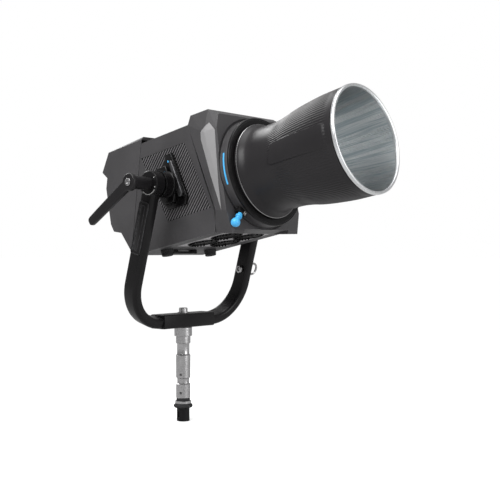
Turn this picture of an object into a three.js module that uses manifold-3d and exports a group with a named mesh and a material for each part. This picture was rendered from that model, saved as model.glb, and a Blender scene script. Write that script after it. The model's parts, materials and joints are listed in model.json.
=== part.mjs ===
// A studio spotlight head with its bowl reflector, in a leaning yoke on a stand spigot. Millimetres, +Z up.
// The origin is the middle of the spigot post's flat lower end. The lamp shines towards -Y, tilted up at rest.
import * as THREE from "three";
import { ConvexGeometry } from "three/addons/geometries/ConvexGeometry.js";
import { mergeVertices } from "three/addons/utils/BufferGeometryUtils.js";
import Module from "manifold-3d";

const wasm = await Module();
wasm.setup();

// Driving dimensions
const GAP = 0.3; // between pieces that touch
const HEAD_TILT = 11.2; // degrees up at rest
const YOKE_LEAN = 15.6; // degrees forward
const SPIGOT_LENGTH = 185;
const BLOCK = { length: 138, depth: 40, height: 27.5 };
const ARM_X = 150; // from the middle plane to the middle of a yoke arm
const ARM_LENGTH = 267.2; // from the yoke bar to the tilt pivot
const TUBE = { depth: 34, thick: 20, corner: 7, bend: 78 };
const ARM_STRIP = { width: 25, top: 34, bottom: 132 }; // top and bottom are distances below the pivot
const EYE = { height: 102, ring: 11.5, wire: 2.3 }; // height is above the yoke bar
const LEVER = { length: 128, angle: 33 }; // degrees below level, to the rear
const CASE = { halfWidth: 95, top: 100, bottom: -106, wall: 3 };
const AXIS_W = -4.6; // the lamp's axis runs this far below the pivot
const FAN = { bore: 27.5, pitch: 61, middle: 22, rotor: 24.5 };
const RIB = { pitch: 5.4, width: 1.9, slope: 44 }; // degrees up from the lamp's axis
const RING = { outer: 101.5, inner: 88.5, front: 145.7 };
const MOUTH = { u: 369.3, radius: 96.1 };
const KNOB_X = 56;
const BUTTON_X = 20;

const SIDES = [
  ["left", -1],
  ["right", 1],
];
const radians = THREE.MathUtils.degToRad;

// Finishes
const finish = (color, roughness, metalness) => new THREE.MeshStandardMaterial({ color, roughness, metalness });
const BLACK_METAL = finish(0x1c1c1e, 0.4, 0.6);
const CASE_GREY = finish(0x4a4a4d, 0.55, 0.3);
const INLAY_GREY = finish(0x9a9a9c, 0.45, 0.4);
const PLATE_GREY = finish(0x77777a, 0.45, 0.5);
const STEEL = finish(0xb8b8ba, 0.25, 1.0);
const BRIGHT = finish(0xe4e8ea, 0.18, 1.0);
const RUBBER = finish(0x151516, 0.85, 0.0);
const BLUE = finish(0x35b4f0, 0.4, 0.0);
const PLASTIC = finish(0x232325, 0.6, 0.0);
const SCREEN = finish(0x0c1014, 0.1, 0.0);
const COPPER = finish(0xb06a3c, 0.35, 1.0);
const PHOSPHOR = finish(0xe8c83a, 0.5, 0.0);
const BOARD_GREEN = finish(0x1f5a35, 0.5, 0.0);

// Solids: a closed three.js geometry becomes a manifold-3d solid for cuts and joins, and comes back as a geometry.
function toSolid(geometry) {
  const bare = geometry.index ? geometry.toNonIndexed() : geometry.clone();
  for (const name of Object.keys(bare.attributes)) {
    if (name !== "position") bare.deleteAttribute(name);
  }
  const merged = mergeVertices(bare, 1e-3);
  const triVerts = new Uint32Array(merged.index.array);
  const vertProperties = merged.attributes.position.array;
  return new wasm.Manifold(new wasm.Mesh({ numProp: 3, vertProperties, triVerts }));
}

function toGeometry(solid) {
  const mesh = solid.getMesh();
  const positions = new Float32Array(mesh.numVert * 3);
  for (let i = 0; i < mesh.numVert; i++) {
    positions.set(mesh.vertProperties.subarray(i * mesh.numProp, i * mesh.numProp + 3), i * 3);
  }
  const geometry = new THREE.BufferGeometry();
  geometry.setAttribute("position", new THREE.BufferAttribute(positions, 3));
  geometry.setIndex(new THREE.BufferAttribute(mesh.triVerts, 1));
  return geometry;
}

const cut = (whole, ...tools) => toGeometry(tools.reduce((solid, t) => solid.subtract(toSolid(t)), toSolid(whole)));
const join = (first, ...rest) => toGeometry(rest.reduce((solid, r) => solid.add(toSolid(r)), toSolid(first)));
const common = (a, b) => toGeometry(toSolid(a).intersect(toSolid(b)));

// Shapes. In the head, u is the distance forward of the pivot along the lamp's axis and w is the height above it,
// so y = -u and z = w.
const at = (x, y, z) => new THREE.Vector3(x, y, z);
const inHead = (x, u, w) => new THREE.Vector3(x, -u, w);

function box([x0, x1], [y0, y1], [z0, z1]) {
  const geometry = new THREE.BoxGeometry(x1 - x0, y1 - y0, z1 - z0);
  return geometry.translate((x0 + x1) / 2, (y0 + y1) / 2, (z0 + z1) / 2);
}

const headBox = (x, [u0, u1], w) => box(x, [-u1, -u0], w);
const sorted = (side, near, far) => [side * near, side * far].sort((a, b) => a - b);

function bar(radius, start, end, segments = 20) {
  const axis = end.clone().sub(start);
  const geometry = new THREE.CylinderGeometry(radius, radius, axis.length(), segments);
  geometry.applyQuaternion(new THREE.Quaternion().setFromUnitVectors(at(0, 1, 0), axis.normalize()));
  const middle = start.clone().add(end).multiplyScalar(0.5);
  return geometry.translate(middle.x, middle.y, middle.z);
}

// A turned piece about +Z from [radius, height] pairs, round the section anticlockwise.
function turned(profile, segments = 24) {
  const geometry = new THREE.LatheGeometry(profile.map(([r, z]) => new THREE.Vector2(r, z)), segments);
  return geometry.rotateX(Math.PI / 2);
}

// The same about the lamp's axis, from [radius, u] pairs.
function turnedOnAxis(profile, segments = 40) {
  const geometry = new THREE.LatheGeometry(profile.map(([r, u]) => new THREE.Vector2(r, u)), segments);
  return geometry.rotateZ(Math.PI).translate(0, 0, AXIS_W);
}

// The section of a ring with chamfered outer edges.
const ringSection = (inner, outer, z0, z1, chamfer) => [
  [inner, z0],
  [outer - chamfer, z0],
  [outer, z0 + chamfer],
  [outer, z1 - chamfer],
  [outer - chamfer, z1],
  [inner, z1],
  [inner, z0],
];

// An outline in (u, w), as seen from the side, pulled from x0 to x1.
function sideExtrude(points, [x0, x1]) {
  const shape = new THREE.Shape(points.map(([u, w]) => new THREE.Vector2(-u, w)));
  const geometry = new THREE.ExtrudeGeometry(shape, { depth: x1 - x0, bevelEnabled: false });
  return geometry.rotateX(Math.PI / 2).rotateZ(Math.PI / 2).translate(x0, 0, 0);
}

// An outline in (x, w), as seen from the front, pulled from u0 to u1.
function frontExtrude(points, [u0, u1]) {
  const shape = new THREE.Shape(points.map(([x, w]) => new THREE.Vector2(x, w)));
  const geometry = new THREE.ExtrudeGeometry(shape, { depth: u1 - u0, bevelEnabled: false });
  return geometry.rotateX(Math.PI / 2).translate(0, -u0, 0);
}

// A convex outline moved in by d all round.
function inset(points, d) {
  const count = points.length;
  const area = points.reduce((sum, [a, b], i) => {
    const [c, e] = points[(i + 1) % count];
    return sum + a * e - c * b;
  }, 0);
  const edges = points.map(([a, b], i) => {
    const [c, e] = points[(i + 1) % count];
    const normal = new THREE.Vector2(b - e, c - a).normalize().multiplyScalar(Math.sign(area));
    return { normal, reach: normal.x * a + normal.y * b + d };
  });
  return edges.map((edge, i) => {
    const before = edges[(i + count - 1) % count];
    const det = before.normal.x * edge.normal.y - before.normal.y * edge.normal.x;
    return [
      (before.reach * edge.normal.y - edge.reach * before.normal.y) / det,
      (before.normal.x * edge.reach - edge.normal.x * before.reach) / det,
    ];
  });
}

const bothSides = (points) => [...points, ...points.map(([x, u, w]) => [-x, u, w])];
const hull = (points) => new ConvexGeometry(points.map(([x, u, w]) => inHead(x, u, w)));

function roundedRect(width, height, r, steps = 4) {
  const corners = [
    [1, 1],
    [-1, 1],
    [-1, -1],
    [1, -1],
  ];
  return corners.flatMap(([sx, sy], k) =>
    Array.from({ length: steps + 1 }, (_, i) => {
      const angle = ((k + i / steps) * Math.PI) / 2;
      return [sx * (width / 2 - r) + r * Math.cos(angle), sy * (height / 2 - r) + r * Math.sin(angle)];
    }),
  );
}

// A body through rings of points; each ring runs anticlockwise seen from the side it heads for.
function loft(rings) {
  const count = rings[0].length;
  const index = [];
  for (let r = 0; r + 1 < rings.length; r++) {
    for (let i = 0; i < count; i++) {
      const [a, b] = [r * count + i, r * count + ((i + 1) % count)];
      index.push(a, b, b + count, a, b + count, a + count);
    }
  }
  const last = (rings.length - 1) * count;
  for (let i = 1; i + 1 < count; i++) index.push(0, i + 1, i, last, last + i, last + i + 1);
  const geometry = new THREE.BufferGeometry();
  const positions = rings.flat().flatMap((p) => p.toArray());
  geometry.setAttribute("position", new THREE.Float32BufferAttribute(positions, 3));
  geometry.setIndex(index);
  return geometry;
}

// A rounded plate in the (y, z) plane, centred on y, z and pulled from x0 to x1.
function plate([width, height, r], [x0, x1], y, z) {
  const ring = (x) => roundedRect(width, height, r, 3).map(([a, b]) => at(x, y + a, z + b));
  return loft([ring(x0), ring(x1)]);
}

// What stands still, what leans with the yoke and what tilts with the head.
const spotlight = new THREE.Group();
const yokeGroup = new THREE.Group();
const leverGroup = new THREE.Group();
const headGroup = new THREE.Group();
const barHeight = SPIGOT_LENGTH + BLOCK.height / 2;
const lean = radians(YOKE_LEAN);
const pivot = at(0, -ARM_LENGTH * Math.sin(lean), barHeight + ARM_LENGTH * Math.cos(lean));
yokeGroup.position.set(0, 0, barHeight);
yokeGroup.rotation.x = lean;
leverGroup.position.copy(pivot);
leverGroup.rotation.x = -radians(LEVER.angle);
headGroup.position.copy(pivot);
headGroup.rotation.x = -radians(HEAD_TILT);
spotlight.add(yokeGroup, leverGroup, headGroup);

function add(group, name, geometry, material) {
  const mesh = new THREE.Mesh(geometry, material);
  mesh.name = name;
  group.add(mesh);
}

// Spigot: the post, the rings round its neck and the steel pin above them.
const post = turned([
  [0, 0],
  [12, 0],
  [12.7, 0.7],
  [12.7, 25.7],
  [0, 25.7],
]);
add(spotlight, "spigot_post", cut(post, box([-20, 20], [-2, 2], [7, 20])), BLACK_METAL);
add(spotlight, "spigot_buffer", turned(ringSection(9.3, 18.8, 26, 34, 2.4)), RUBBER);
add(spotlight, "spigot_flange", turned(ringSection(9.3, 16, 34.3, 40, 0.8)), STEEL);
add(spotlight, "spigot_seal", turned(ringSection(9.3, 13.5, 40.3, 45, 0.5)), RUBBER);
const pin = turned([
  [0, 26],
  [9, 26],
  [9, 45.3],
  [14.3, 45.3],
  [14.3, 73],
  [12, 74.5],
  [12, 83.5],
  [14.3, 85],
  [14.3, 130],
  [12.2, 132],
  [12.2, 152],
  [14.3, 153.5],
  [14.3, 167],
  [17.5, 168],
  [17.5, SPIGOT_LENGTH - GAP],
  [0, SPIGOT_LENGTH - GAP],
]);
const crossHole = (z) => bar(2.6, at(-20, 0, z), at(20, 0, z), 12).rotateZ(radians(25));
add(spotlight, "spigot_pin", cut(pin, crossHole(56), crossHole(92)), STEEL);

// The block, its long way along X, and the bolt that holds it on the spigot.
const block = plate([BLOCK.depth, BLOCK.height, 4], [-BLOCK.length / 2, BLOCK.length / 2], 0, barHeight);
add(spotlight, "yoke_block", block, BLACK_METAL);
const boltHead = turned(
  [
    [0, 0],
    [11, 0],
    [11, 2],
    [8.5, 2],
    [8.5, 9],
    [7.7, 10],
    [0, 10],
  ],
  24,
);
const hexSocket = new THREE.CylinderGeometry(4, 4, 8, 6).rotateX(Math.PI / 2).translate(0, 0, 10);
const blockTop = SPIGOT_LENGTH + BLOCK.height + GAP;
add(spotlight, "block_bolt", cut(boltHead, hexSocket).translate(0, 0, blockTop), STEEL);

// Yoke arms, in the yoke's own plane: out of the block, round the bend and up to the round head at the pivot.
const armInner = ARM_X - TUBE.thick / 2;
const armOuter = ARM_X + TUBE.thick / 2;

function armTube(side) {
  const stations = [[at(BLOCK.length / 2 + GAP, 0, 0), at(1, 0, 0)]];
  for (let i = 0; i <= 9; i++) {
    const angle = (i / 9) * (Math.PI / 2);
    const x = ARM_X - TUBE.bend * (1 - Math.sin(angle));
    stations.push([at(x, 0, TUBE.bend * (1 - Math.cos(angle))), at(Math.cos(angle), 0, Math.sin(angle))]);
  }
  stations.push([at(ARM_X, 0, ARM_LENGTH - 8), at(0, 0, 1)]);
  const section = roundedRect(TUBE.depth, TUBE.thick, TUBE.corner, 2);
  const rings = stations.map(([p, t]) =>
    section.map(([d, n]) => at(side * (p.x - t.z * n), side * d, p.z + t.x * n)),
  );
  return loft(rings);
}

for (const [name, side] of SIDES) {
  const across = (near, far, radius, z, segments) =>
    bar(radius, at(side * near, 0, z), at(side * far, 0, z), segments);
  const round = across(armInner - 0.7, armOuter + 0.7, 23, ARM_LENGTH, 40);
  const bores = [across(armInner - 5, armOuter + 5, 8.1, ARM_LENGTH, 32)];
  if (side > 0) bores.push(across(armInner - 5, armOuter + 5, 4.3, EYE.height, 16));
  add(yokeGroup, `yoke_arm_${name}`, cut(join(armTube(side), round), ...bores), BLACK_METAL);
}

// On the left arm a scale strip; on the right arm the safety eye, its screw, and the cap over the pivot.
const stripHeight = ARM_STRIP.bottom - ARM_STRIP.top;
const stripMiddle = ARM_LENGTH - (ARM_STRIP.top + ARM_STRIP.bottom) / 2;
const strip = plate([ARM_STRIP.width, stripHeight, 5], [-armOuter - 2, -armOuter - GAP], 0, stripMiddle);
add(yokeGroup, "arm_strip", strip, PLASTIC);
const eyeMiddle = armOuter + 6 + EYE.ring;
const eyeRing = new THREE.TorusGeometry(EYE.ring, EYE.wire, 8, 24).rotateX(Math.PI / 2);
eyeRing.translate(eyeMiddle, 0, EYE.height);
const eyeCollar = bar(6.5, at(armOuter + GAP, 0, EYE.height), at(armOuter + 4.6, 0, EYE.height));
const eyeShank = bar(4, at(armInner - 4, 0, EYE.height), at(armOuter + 6, 0, EYE.height), 16);
add(yokeGroup, "safety_eye", join(eyeRing, eyeCollar, eyeShank), STEEL);
const nut = new THREE.CylinderGeometry(8, 8, 6, 6).rotateZ(Math.PI / 2).translate(armInner - GAP - 3, 0, EYE.height);
const nutBore = bar(4.3, at(armInner - 10, 0, EYE.height), at(armInner, 0, EYE.height), 16);
add(yokeGroup, "safety_eye_nut", cut(nut, nutBore), STEEL);
const cap = turned([
  [0, 0],
  [17, 0],
  [17, 5],
  [15, 7],
  [0, 7],
]);
const capSocket = new THREE.CylinderGeometry(5, 5, 8, 6).rotateX(Math.PI / 2).translate(0, 0, 7);
const capOnArm = cut(cap, capSocket).rotateY(Math.PI / 2).translate(armOuter + 1, 0, ARM_LENGTH);
add(yokeGroup, "pivot_cap", capOnArm, BLACK_METAL);

// Tilt lever: a hub outside the left arm's head, and a handle at its outer end. Built level, pointing to the rear.
const hub = bar(12, at(-armOuter - 1, 0, 0), at(-199, 0, 0), 32);
const leverHead = bar(15.5, at(-199, 0, 0), at(-209, 0, 0), 32);
const handleRing = (y, width, x0, x1, r) =>
  roundedRect(width, x1 - x0, r, 2).map(([a, b]) => at((x0 + x1) / 2 + b, y, a));
const handle = loft([
  handleRing(4, 22, -209, -200, 3),
  handleRing(24, 19, -209, -200, 3),
  handleRing(LEVER.length - 8, 17, -209, -200, 3),
  handleRing(LEVER.length, 12, -207.5, -201.5, 2.5),
]);
const screwSeat = bar(7.3, at(-206.5, 0, 0), at(-212, 0, 0), 24);
add(leverGroup, "tilt_lever", cut(join(hub, leverHead, handle), screwSeat), BLACK_METAL);
const leverScrew = bar(6.8, at(-206.8, 0, 0), at(-211, 0, 0), 24);
const leverSocket = new THREE.CylinderGeometry(3.4, 3.4, 6, 6).rotateZ(Math.PI / 2).translate(-211, 0, 0);
add(leverGroup, "tilt_lever_screw", cut(leverScrew, leverSocket), STEEL);

// Head case: a shell open at the front, for the bezel, and at the rear, under the rear cover. The seams slant.
const caseProfile = [
  [55, CASE.top],
  [90.5, -66],
  [84, CASE.bottom],
  [-132.5, CASE.bottom],
  [-134.4, -85],
  [-89.8, 49],
  [-72.6, CASE.top],
];
const louvreField = [
  [-78, 72],
  [40, 71],
  [82, -61],
  [-30, -62],
];
const inner = CASE.halfWidth - CASE.wall;
const caseShell = cut(
  sideExtrude(caseProfile, [-CASE.halfWidth, CASE.halfWidth]),
  headBox([-inner, inner], [-200, 120], [CASE.bottom + CASE.wall, CASE.top - CASE.wall]),
  headBox([-66, 66], [-44, 120], [-110, -100]),
  sideExtrude(louvreField, [-100, 100]),
);
add(headGroup, "case_shell", caseShell, CASE_GREY);

// Side louvres: slanting ribs on a thin backing, inside the opening's edge.
for (const [name, side] of SIDES) {
  const field = inset(louvreField, GAP);
  const backing = sideExtrude(field, sorted(side, 92.2, 93.4));
  const direction = new THREE.Vector2(Math.cos(radians(RIB.slope)), Math.sin(radians(RIB.slope)));
  const ribs = [];
  for (let i = -18; i <= 18; i++) {
    const [u, w] = [2 - direction.y * RIB.pitch * i, 5 + direction.x * RIB.pitch * i];
    const [du, dw] = [direction.x * 150, direction.y * 150];
    const [ou, ow] = [(-direction.y * RIB.width) / 2, (direction.x * RIB.width) / 2];
    const quad = [
      [u - du - ou, w - dw - ow],
      [u + du - ou, w + dw - ow],
      [u + du + ou, w + dw + ow],
      [u - du + ou, w - dw + ow],
    ];
    ribs.push(sideExtrude(quad, sorted(side, 93, 94.8)));
  }
  const ribField = common(join(...ribs), sideExtrude(field, sorted(side, 92.5, 96)));
  add(headGroup, `louvre_${name}`, join(backing, ribField), PLASTIC);
}

// Bottom plate with four fan bores, and in each bore a guard and a fan.
const fanPlaces = [
  ["front_left", -1, 1],
  ["front_right", 1, 1],
  ["rear_left", -1, -1],
  ["rear_right", 1, -1],
].map(([name, sx, su]) => [name, (sx * FAN.pitch) / 2, FAN.middle + (su * FAN.pitch) / 2]);
const uprightBar = (radius, x, u, w0, w1, segments) => bar(radius, inHead(x, u, w0), inHead(x, u, w1), segments);
const fanBores = fanPlaces.map(([, x, u]) => uprightBar(FAN.bore, x, u, -110, -100, 32));
const bottomPlate = headBox([-65.7, 65.7], [-43.7, 83.4], [CASE.bottom, CASE.bottom + 3]);
add(headGroup, "bottom_plate", cut(bottomPlate, ...fanBores), PLATE_GREY);

for (const [name, x, u] of fanPlaces) {
  const guardRing = (inside, outside) =>
    turned(
      [
        [inside, -106.5],
        [outside, -106.5],
        [outside, -104],
        [inside, -104],
        [inside, -106.5],
      ],
      20,
    ).translate(x, -u, 0);
  const spokes = [45, 135].map((angle) =>
    box([-25.5, 25.5], [-1.2, 1.2], [-106, -104.5]).rotateZ(radians(angle)).translate(x, -u, 0),
  );
  const boss = uprightBar(8, x, u, -106.5, -104, 16);
  const guard = join(guardRing(23.8, FAN.bore - GAP - 0.4), boss, ...spokes);
  add(headGroup, `fan_guard_${name}`, guard, PLASTIC);
  const blades = Array.from({ length: 7 }, (_, i) =>
    box([6, FAN.rotor - 1], [-0.7, 0.7], [-6.5, 6.5])
      .rotateX(radians(52))
      .rotateZ((i * 2 * Math.PI) / 7)
      .translate(x, -u, -97),
  );
  add(headGroup, `fan_${name}`, join(uprightBar(9.5, x, u, -103.2, -92, 20), ...blades), PLASTIC);
}

// Feet and the low bar between them.
for (const [name, side] of SIDES) {
  const foot = turned([
    [0, -118],
    [10.8, -118],
    [12.2, -116],
    [12.2, CASE.bottom - GAP],
    [0, CASE.bottom - GAP],
  ]).translate(side * 60, 78, 0);
  add(headGroup, `foot_${name}`, foot, RUBBER);
}
const bottomBar = join(
  headBox([-44, 20], [-88, -76], [-114, -109]),
  headBox([-44, -32], [-88, -76], [-110, CASE.bottom - GAP]),
  headBox([8, 20], [-88, -76], [-110, CASE.bottom - GAP]),
);
add(headGroup, "bottom_bar", bottomBar, BLACK_METAL);

// Rear cover: stands proud of the case at the top, with an overhanging lip, and slants in at the bottom.
const coverProfile = [
  [-68.2, 113],
  [-166.5, 108],
  [-192.6, 73],
  [-180.5, 59],
  [-187.5, 39],
  [-187.5, -33],
  [-181.5, -49],
  [-161, -56],
  [-142, -92],
  [-133, CASE.bottom],
  [-134.8, -85],
  [-90.1, 49],
];
const coverCavity = [
  [-40, 108],
  [-164, 104.5],
  [-186, 74],
  [-176.5, 60],
  [-183.5, 39],
  [-183.5, -32],
  [-178.5, -45.5],
  [-158.5, -52.5],
  [-139.5, -89],
  [-131, -103],
  [-40, -103],
];
const coverFront = [
  [96, -110],
  [96, 107],
  [89, 114],
  [-89, 114],
  [-96, 107],
  [-96, -110],
];
const coverShell = cut(
  common(sideExtrude(coverProfile, [-96, 96]), frontExtrude(coverFront, [-200, -60])),
  sideExtrude(coverCavity, [-93, 93]),
  headBox([-86, 86], [-190, -180], [-26, 32]),
);
add(headGroup, "rear_cover", coverShell, CASE_GREY);

// Control panel in the rear wall: display, two knobs, three buttons and the power rocker.
const buttonHoles = [-BUTTON_X, 0, BUTTON_X].map((x) => bar(4.6, inHead(x, -200, -17), inHead(x, -180, -17), 20));
const rockerHole = headBox([-84, -62], [-200, -180], [-27.5, -12.5]);
const panel = join(
  headBox([-85.7, 85.7], [-189, -184], [-25.7, 31.7]),
  headBox([-89, 89], [-191.2, -187.8], [-29.5, 35.5]),
);
add(headGroup, "control_panel", cut(panel, rockerHole, ...buttonHoles), PLASTIC);
add(headGroup, "display", headBox([-33, 33], [-193, -191.5], [-4, 31]), SCREEN);
for (const [name, side] of SIDES) {
  const knob = turned(ringSection(0, 11, 0, 15, 1.5), 24);
  const dent = bar(2.2, at(6, 0, 17.5), at(6, 0, 14.2), 12);
  const onPanel = cut(knob, dent).rotateX(-Math.PI / 2).translate(side * KNOB_X, 191.7, 12);
  add(headGroup, `control_knob_${name}`, onPanel, PLASTIC);
}
[-1, 0, 1].forEach((k) => {
  const button = bar(4, inHead(k * BUTTON_X, -193.4, -17), inHead(k * BUTTON_X, -187, -17), 20);
  add(headGroup, `button_${k + 2}`, button, RUBBER);
});
const rocker = sideExtrude(
  [
    [-191, -26.4],
    [-188, -25.4],
    [-188, -14.6],
    [-191, -13.6],
    [-193.4, -14],
    [-192.2, -20],
    [-193.4, -26],
  ],
  [-83, -63],
);
add(headGroup, "power_rocker", rocker, PLASTIC);

// Power and data sockets in the slanting lower part of the rear cover.
const slantOut = new THREE.Vector2(-36, -19).normalize();
const socket = (x, radius, depth) => {
  const [u, w] = [-151.5 + slantOut.x * GAP, -74 + slantOut.y * GAP];
  const point = (d) => inHead(x, u + slantOut.x * d, w + slantOut.y * d);
  return cut(bar(radius, point(0), point(depth), 28), bar(radius - 3, point(depth - 3.5), point(depth + 5), 24));
};
add(headGroup, "power_inlet", socket(-45, 14, 12), PLASTIC);
add(headGroup, "data_socket", socket(30, 10, 8), STEEL);

// Front bezel: a faceted hollow frame with the optical hole in its flat front.
const bezelOuter = hull(
  bothSides([
    [92.5, 62.5, 115.6],
    [92.5, 107, 114.6],
    [86, 124.5, 102.5],
    [95.5, 55, 99],
    [105, 101, 72],
    [96.5, 124.5, 76],
    [105, 101, -70],
    [103.5, 124.5, -76],
    [92, 122, -115],
    [92, 84, -107.5],
    [96.5, 88, -66],
    [88, 124.5, -111],
  ]),
);
const rearCut = sideExtrude(
  [
    [62.5, 130],
    [62.5, 115.8],
    [55.3, 100],
    [90.8, -66],
    [84.3, -106],
    [84.3, -130],
    [-50, -130],
    [-50, 130],
  ],
  [-150, 150],
);
const inlayField = [
  [110, 89],
  [90, 75],
  [88, 62],
  [114, -76],
  [121, 73],
];
const outsideSkin = (side, field, depth) =>
  cut(sideExtrude(field, sorted(side, 85, 120)), bezelOuter.clone().translate(-side * depth, 0, 0));
const bezel = cut(
  bezelOuter,
  rearCut,
  headBox([-90, 90], [0, 119.5], [-103, 97]),
  headBox([-84, 84], [66, 111], [90, 111.5]),
  headBox([-62, 62], [83, 130], [-125, -108.5]),
  turnedOnAxis(ringSection(0, 82, 110, 130, 0)),
  turnedOnAxis([
    [0, 121],
    [102.5, 121],
    [107.5, 126],
    [0, 126],
  ]),
  ...SIDES.map(([, side]) => outsideSkin(side, inlayField, 1.5)),
);
add(headGroup, "front_bezel", bezel, CASE_GREY);
for (const [name, side] of SIDES) {
  const inlay = common(outsideSkin(side, inset(inlayField, 0.4), 1.1), bezelOuter);
  add(headGroup, `inlay_${name}`, inlay, INLAY_GREY);
}

// Mount: the drum on the bezel, the accessory ring in front of it and the sprung release at its lower left.
const drum = turnedOnAxis([
  [84, 121.4],
  [100.5, 121.4],
  [100.5, 138],
  [99.5, 139.4],
  [84, 139.4],
  [84, 121.4],
]);
add(headGroup, "mount_drum", drum, CASE_GREY);
const ring = turnedOnAxis([
  [RING.inner, 139.7],
  [100, 139.7],
  [RING.outer, 141],
  [RING.outer, 144],
  [100, RING.front],
  [RING.inner + 3, RING.front],
  [RING.inner, 144.5],
  [RING.inner, 139.7],
]);
add(headGroup, "mount_ring", ring, BLACK_METAL);
const radial = (r, u) => inHead(-r * Math.SQRT1_2, u, AXIS_W - r * Math.SQRT1_2);
const housing = box([101.9, 111.5], [-139.4, -127], [-9, 9]).rotateY(Math.PI / 4 + Math.PI / 2);
housing.translate(0, 0, AXIS_W);
add(headGroup, "release_housing", housing, BLACK_METAL);
const plunger = join(
  bar(4.2, radial(111.8, 134.3), radial(128, 134.3), 20),
  bar(6, radial(116, 134.3), radial(121, 134.3), 20),
  new THREE.SphereGeometry(8.4, 16, 10).translate(...radial(133.5, 134.3).toArray()),
);
add(headGroup, "release_plunger", plunger, BLUE);

// Light engine: the emitter on its plate, the heat sink behind it and the driver board at the rear.
add(headGroup, "emitter_plate", headBox([-89.7, 89.7], [92, 97.5], [-90, 86]), COPPER);
add(headGroup, "emitter", bar(21, inHead(0, 97.8, AXIS_W), inHead(0, 100.5, AXIS_W), 32), PHOSPHOR);
const fins = Array.from({ length: 13 }, (_, i) => headBox([i * 11 - 67.2, i * 11 - 64.8], [-38, 86], [-76, 80]));
add(headGroup, "heat_sink", join(headBox([-70, 70], [84, 91.7], [-76, 80]), ...fins), BRIGHT);
const boardParts = [
  headBox([-70, -30], [-150, -120], [11, 38]),
  headBox([-15, 20], [-158, -118], [11, 30]),
  headBox([38, 72], [-150, -112], [11, 34]),
];
add(headGroup, "driver_board", join(headBox([-92.6, 92.6], [-165, -104], [8, 11.5]), ...boardParts), BOARD_GREEN);

// Trunnions: on each side a foot plate, a block and the round drum that turns on the arm's head.
const trunnionPlate = [
  [-6, 60],
  [9, 60],
  [33, -26],
  [27, -42],
  [-20, -42],
  [-27, -30],
  [-25, 30],
];
const trunnionRail = [
  [1, 59],
  [9, 59],
  [32, -26],
  [25, -26],
];
const trunnionBlock = [
  [-22, 36],
  [2, 36],
  [15.5, -22],
  [10, -34],
  [-18, -34],
  [-24, -20],
];
const latchOutline = [
  [7, 42],
  [12, 44],
  [15, 40],
  [30.5, -20],
  [27, -27],
  [20, -26.5],
  [17.5, -21],
];
for (const [name, side] of SIDES) {
  const trunnion = join(
    sideExtrude(trunnionPlate, sorted(side, 95.3, 101)),
    sideExtrude(trunnionRail, sorted(side, 100, 103.5)),
    sideExtrude(trunnionBlock, sorted(side, 100, 114)),
    bar(25, at(side * 113, 0, 0), at(side * (armInner - 1.1), 0, 0), 40),
    bar(8, at(side * 130, 0, 0), at(side * (armOuter - 1), 0, 0), 32),
  );
  add(headGroup, `trunnion_${name}`, trunnion, BLACK_METAL);
  add(headGroup, `latch_${name}`, sideExtrude(latchOutline, sorted(side, 103.9, 110)), PLATE_GREY);
}

// Reflector: the waisted outer barrel with its smooth pad, the bright bowl inside it and the rolled rim.
const barrelOutside = [
  [87.8, 146],
  [87.8, 149.5],
  [84, 153],
  [79.8, 163],
  [78.4, 182],
  [79.2, 210],
  [82.5, 234],
  [87.2, 256],
  [91.2, 286],
  [94.2, 320],
  [95.2, 361],
];
const wall = 2.2;
const barrelInside = barrelOutside
  .slice(2)
  .map(([r, u]) => [r - wall, u])
  .reverse();
const barrelProfile = [
  [86.5, 140.5],
  [86.5, 146],
  ...barrelOutside,
  ...barrelInside,
  [84, 149],
  [84, 140.5],
  [86.5, 140.5],
];
const padBand = barrelOutside.filter(([, u]) => u > 190);
const padProfile = [
  ...padBand.map(([r, u]) => [r + 1.3, u]),
  ...padBand.map(([r, u]) => [r - 1, u]).reverse(),
];
const pad = common(
  turnedOnAxis([...padProfile, padProfile[0]]),
  sideExtrude(
    [
      [209, -17],
      [346, -23],
      [349, 20],
      [221, 21],
    ],
    [-110, -40],
  ),
);
add(headGroup, "reflector_barrel", join(turnedOnAxis(barrelProfile), pad), BLACK_METAL);
const bowl = [
  [42, 152],
  [52, 158],
  [60.5, 176],
  [68, 205],
  [75.5, 240],
  [82, 278],
  [87, 318],
  [91, 362],
];
const bowlProfile = [...bowl.map(([r, u]) => [r + 1.2, u]), ...bowl.slice().reverse(), [43.2, 152]];
add(headGroup, "reflector_bowl", turnedOnAxis(bowlProfile), BRIGHT);
const rim = turnedOnAxis([
  [90.5, 362.4],
  [95.3, 362.4],
  [MOUTH.radius, 364],
  [MOUTH.radius, 367],
  [94.5, MOUTH.u],
  [92, MOUTH.u],
  [90.5, 367.5],
  [90.5, 362.4],
]);
add(headGroup, "reflector_rim", rim, BRIGHT);

export default spotlight;
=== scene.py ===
import json
import math

import bmesh
import bpy
from mathutils import Matrix, Vector


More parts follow.
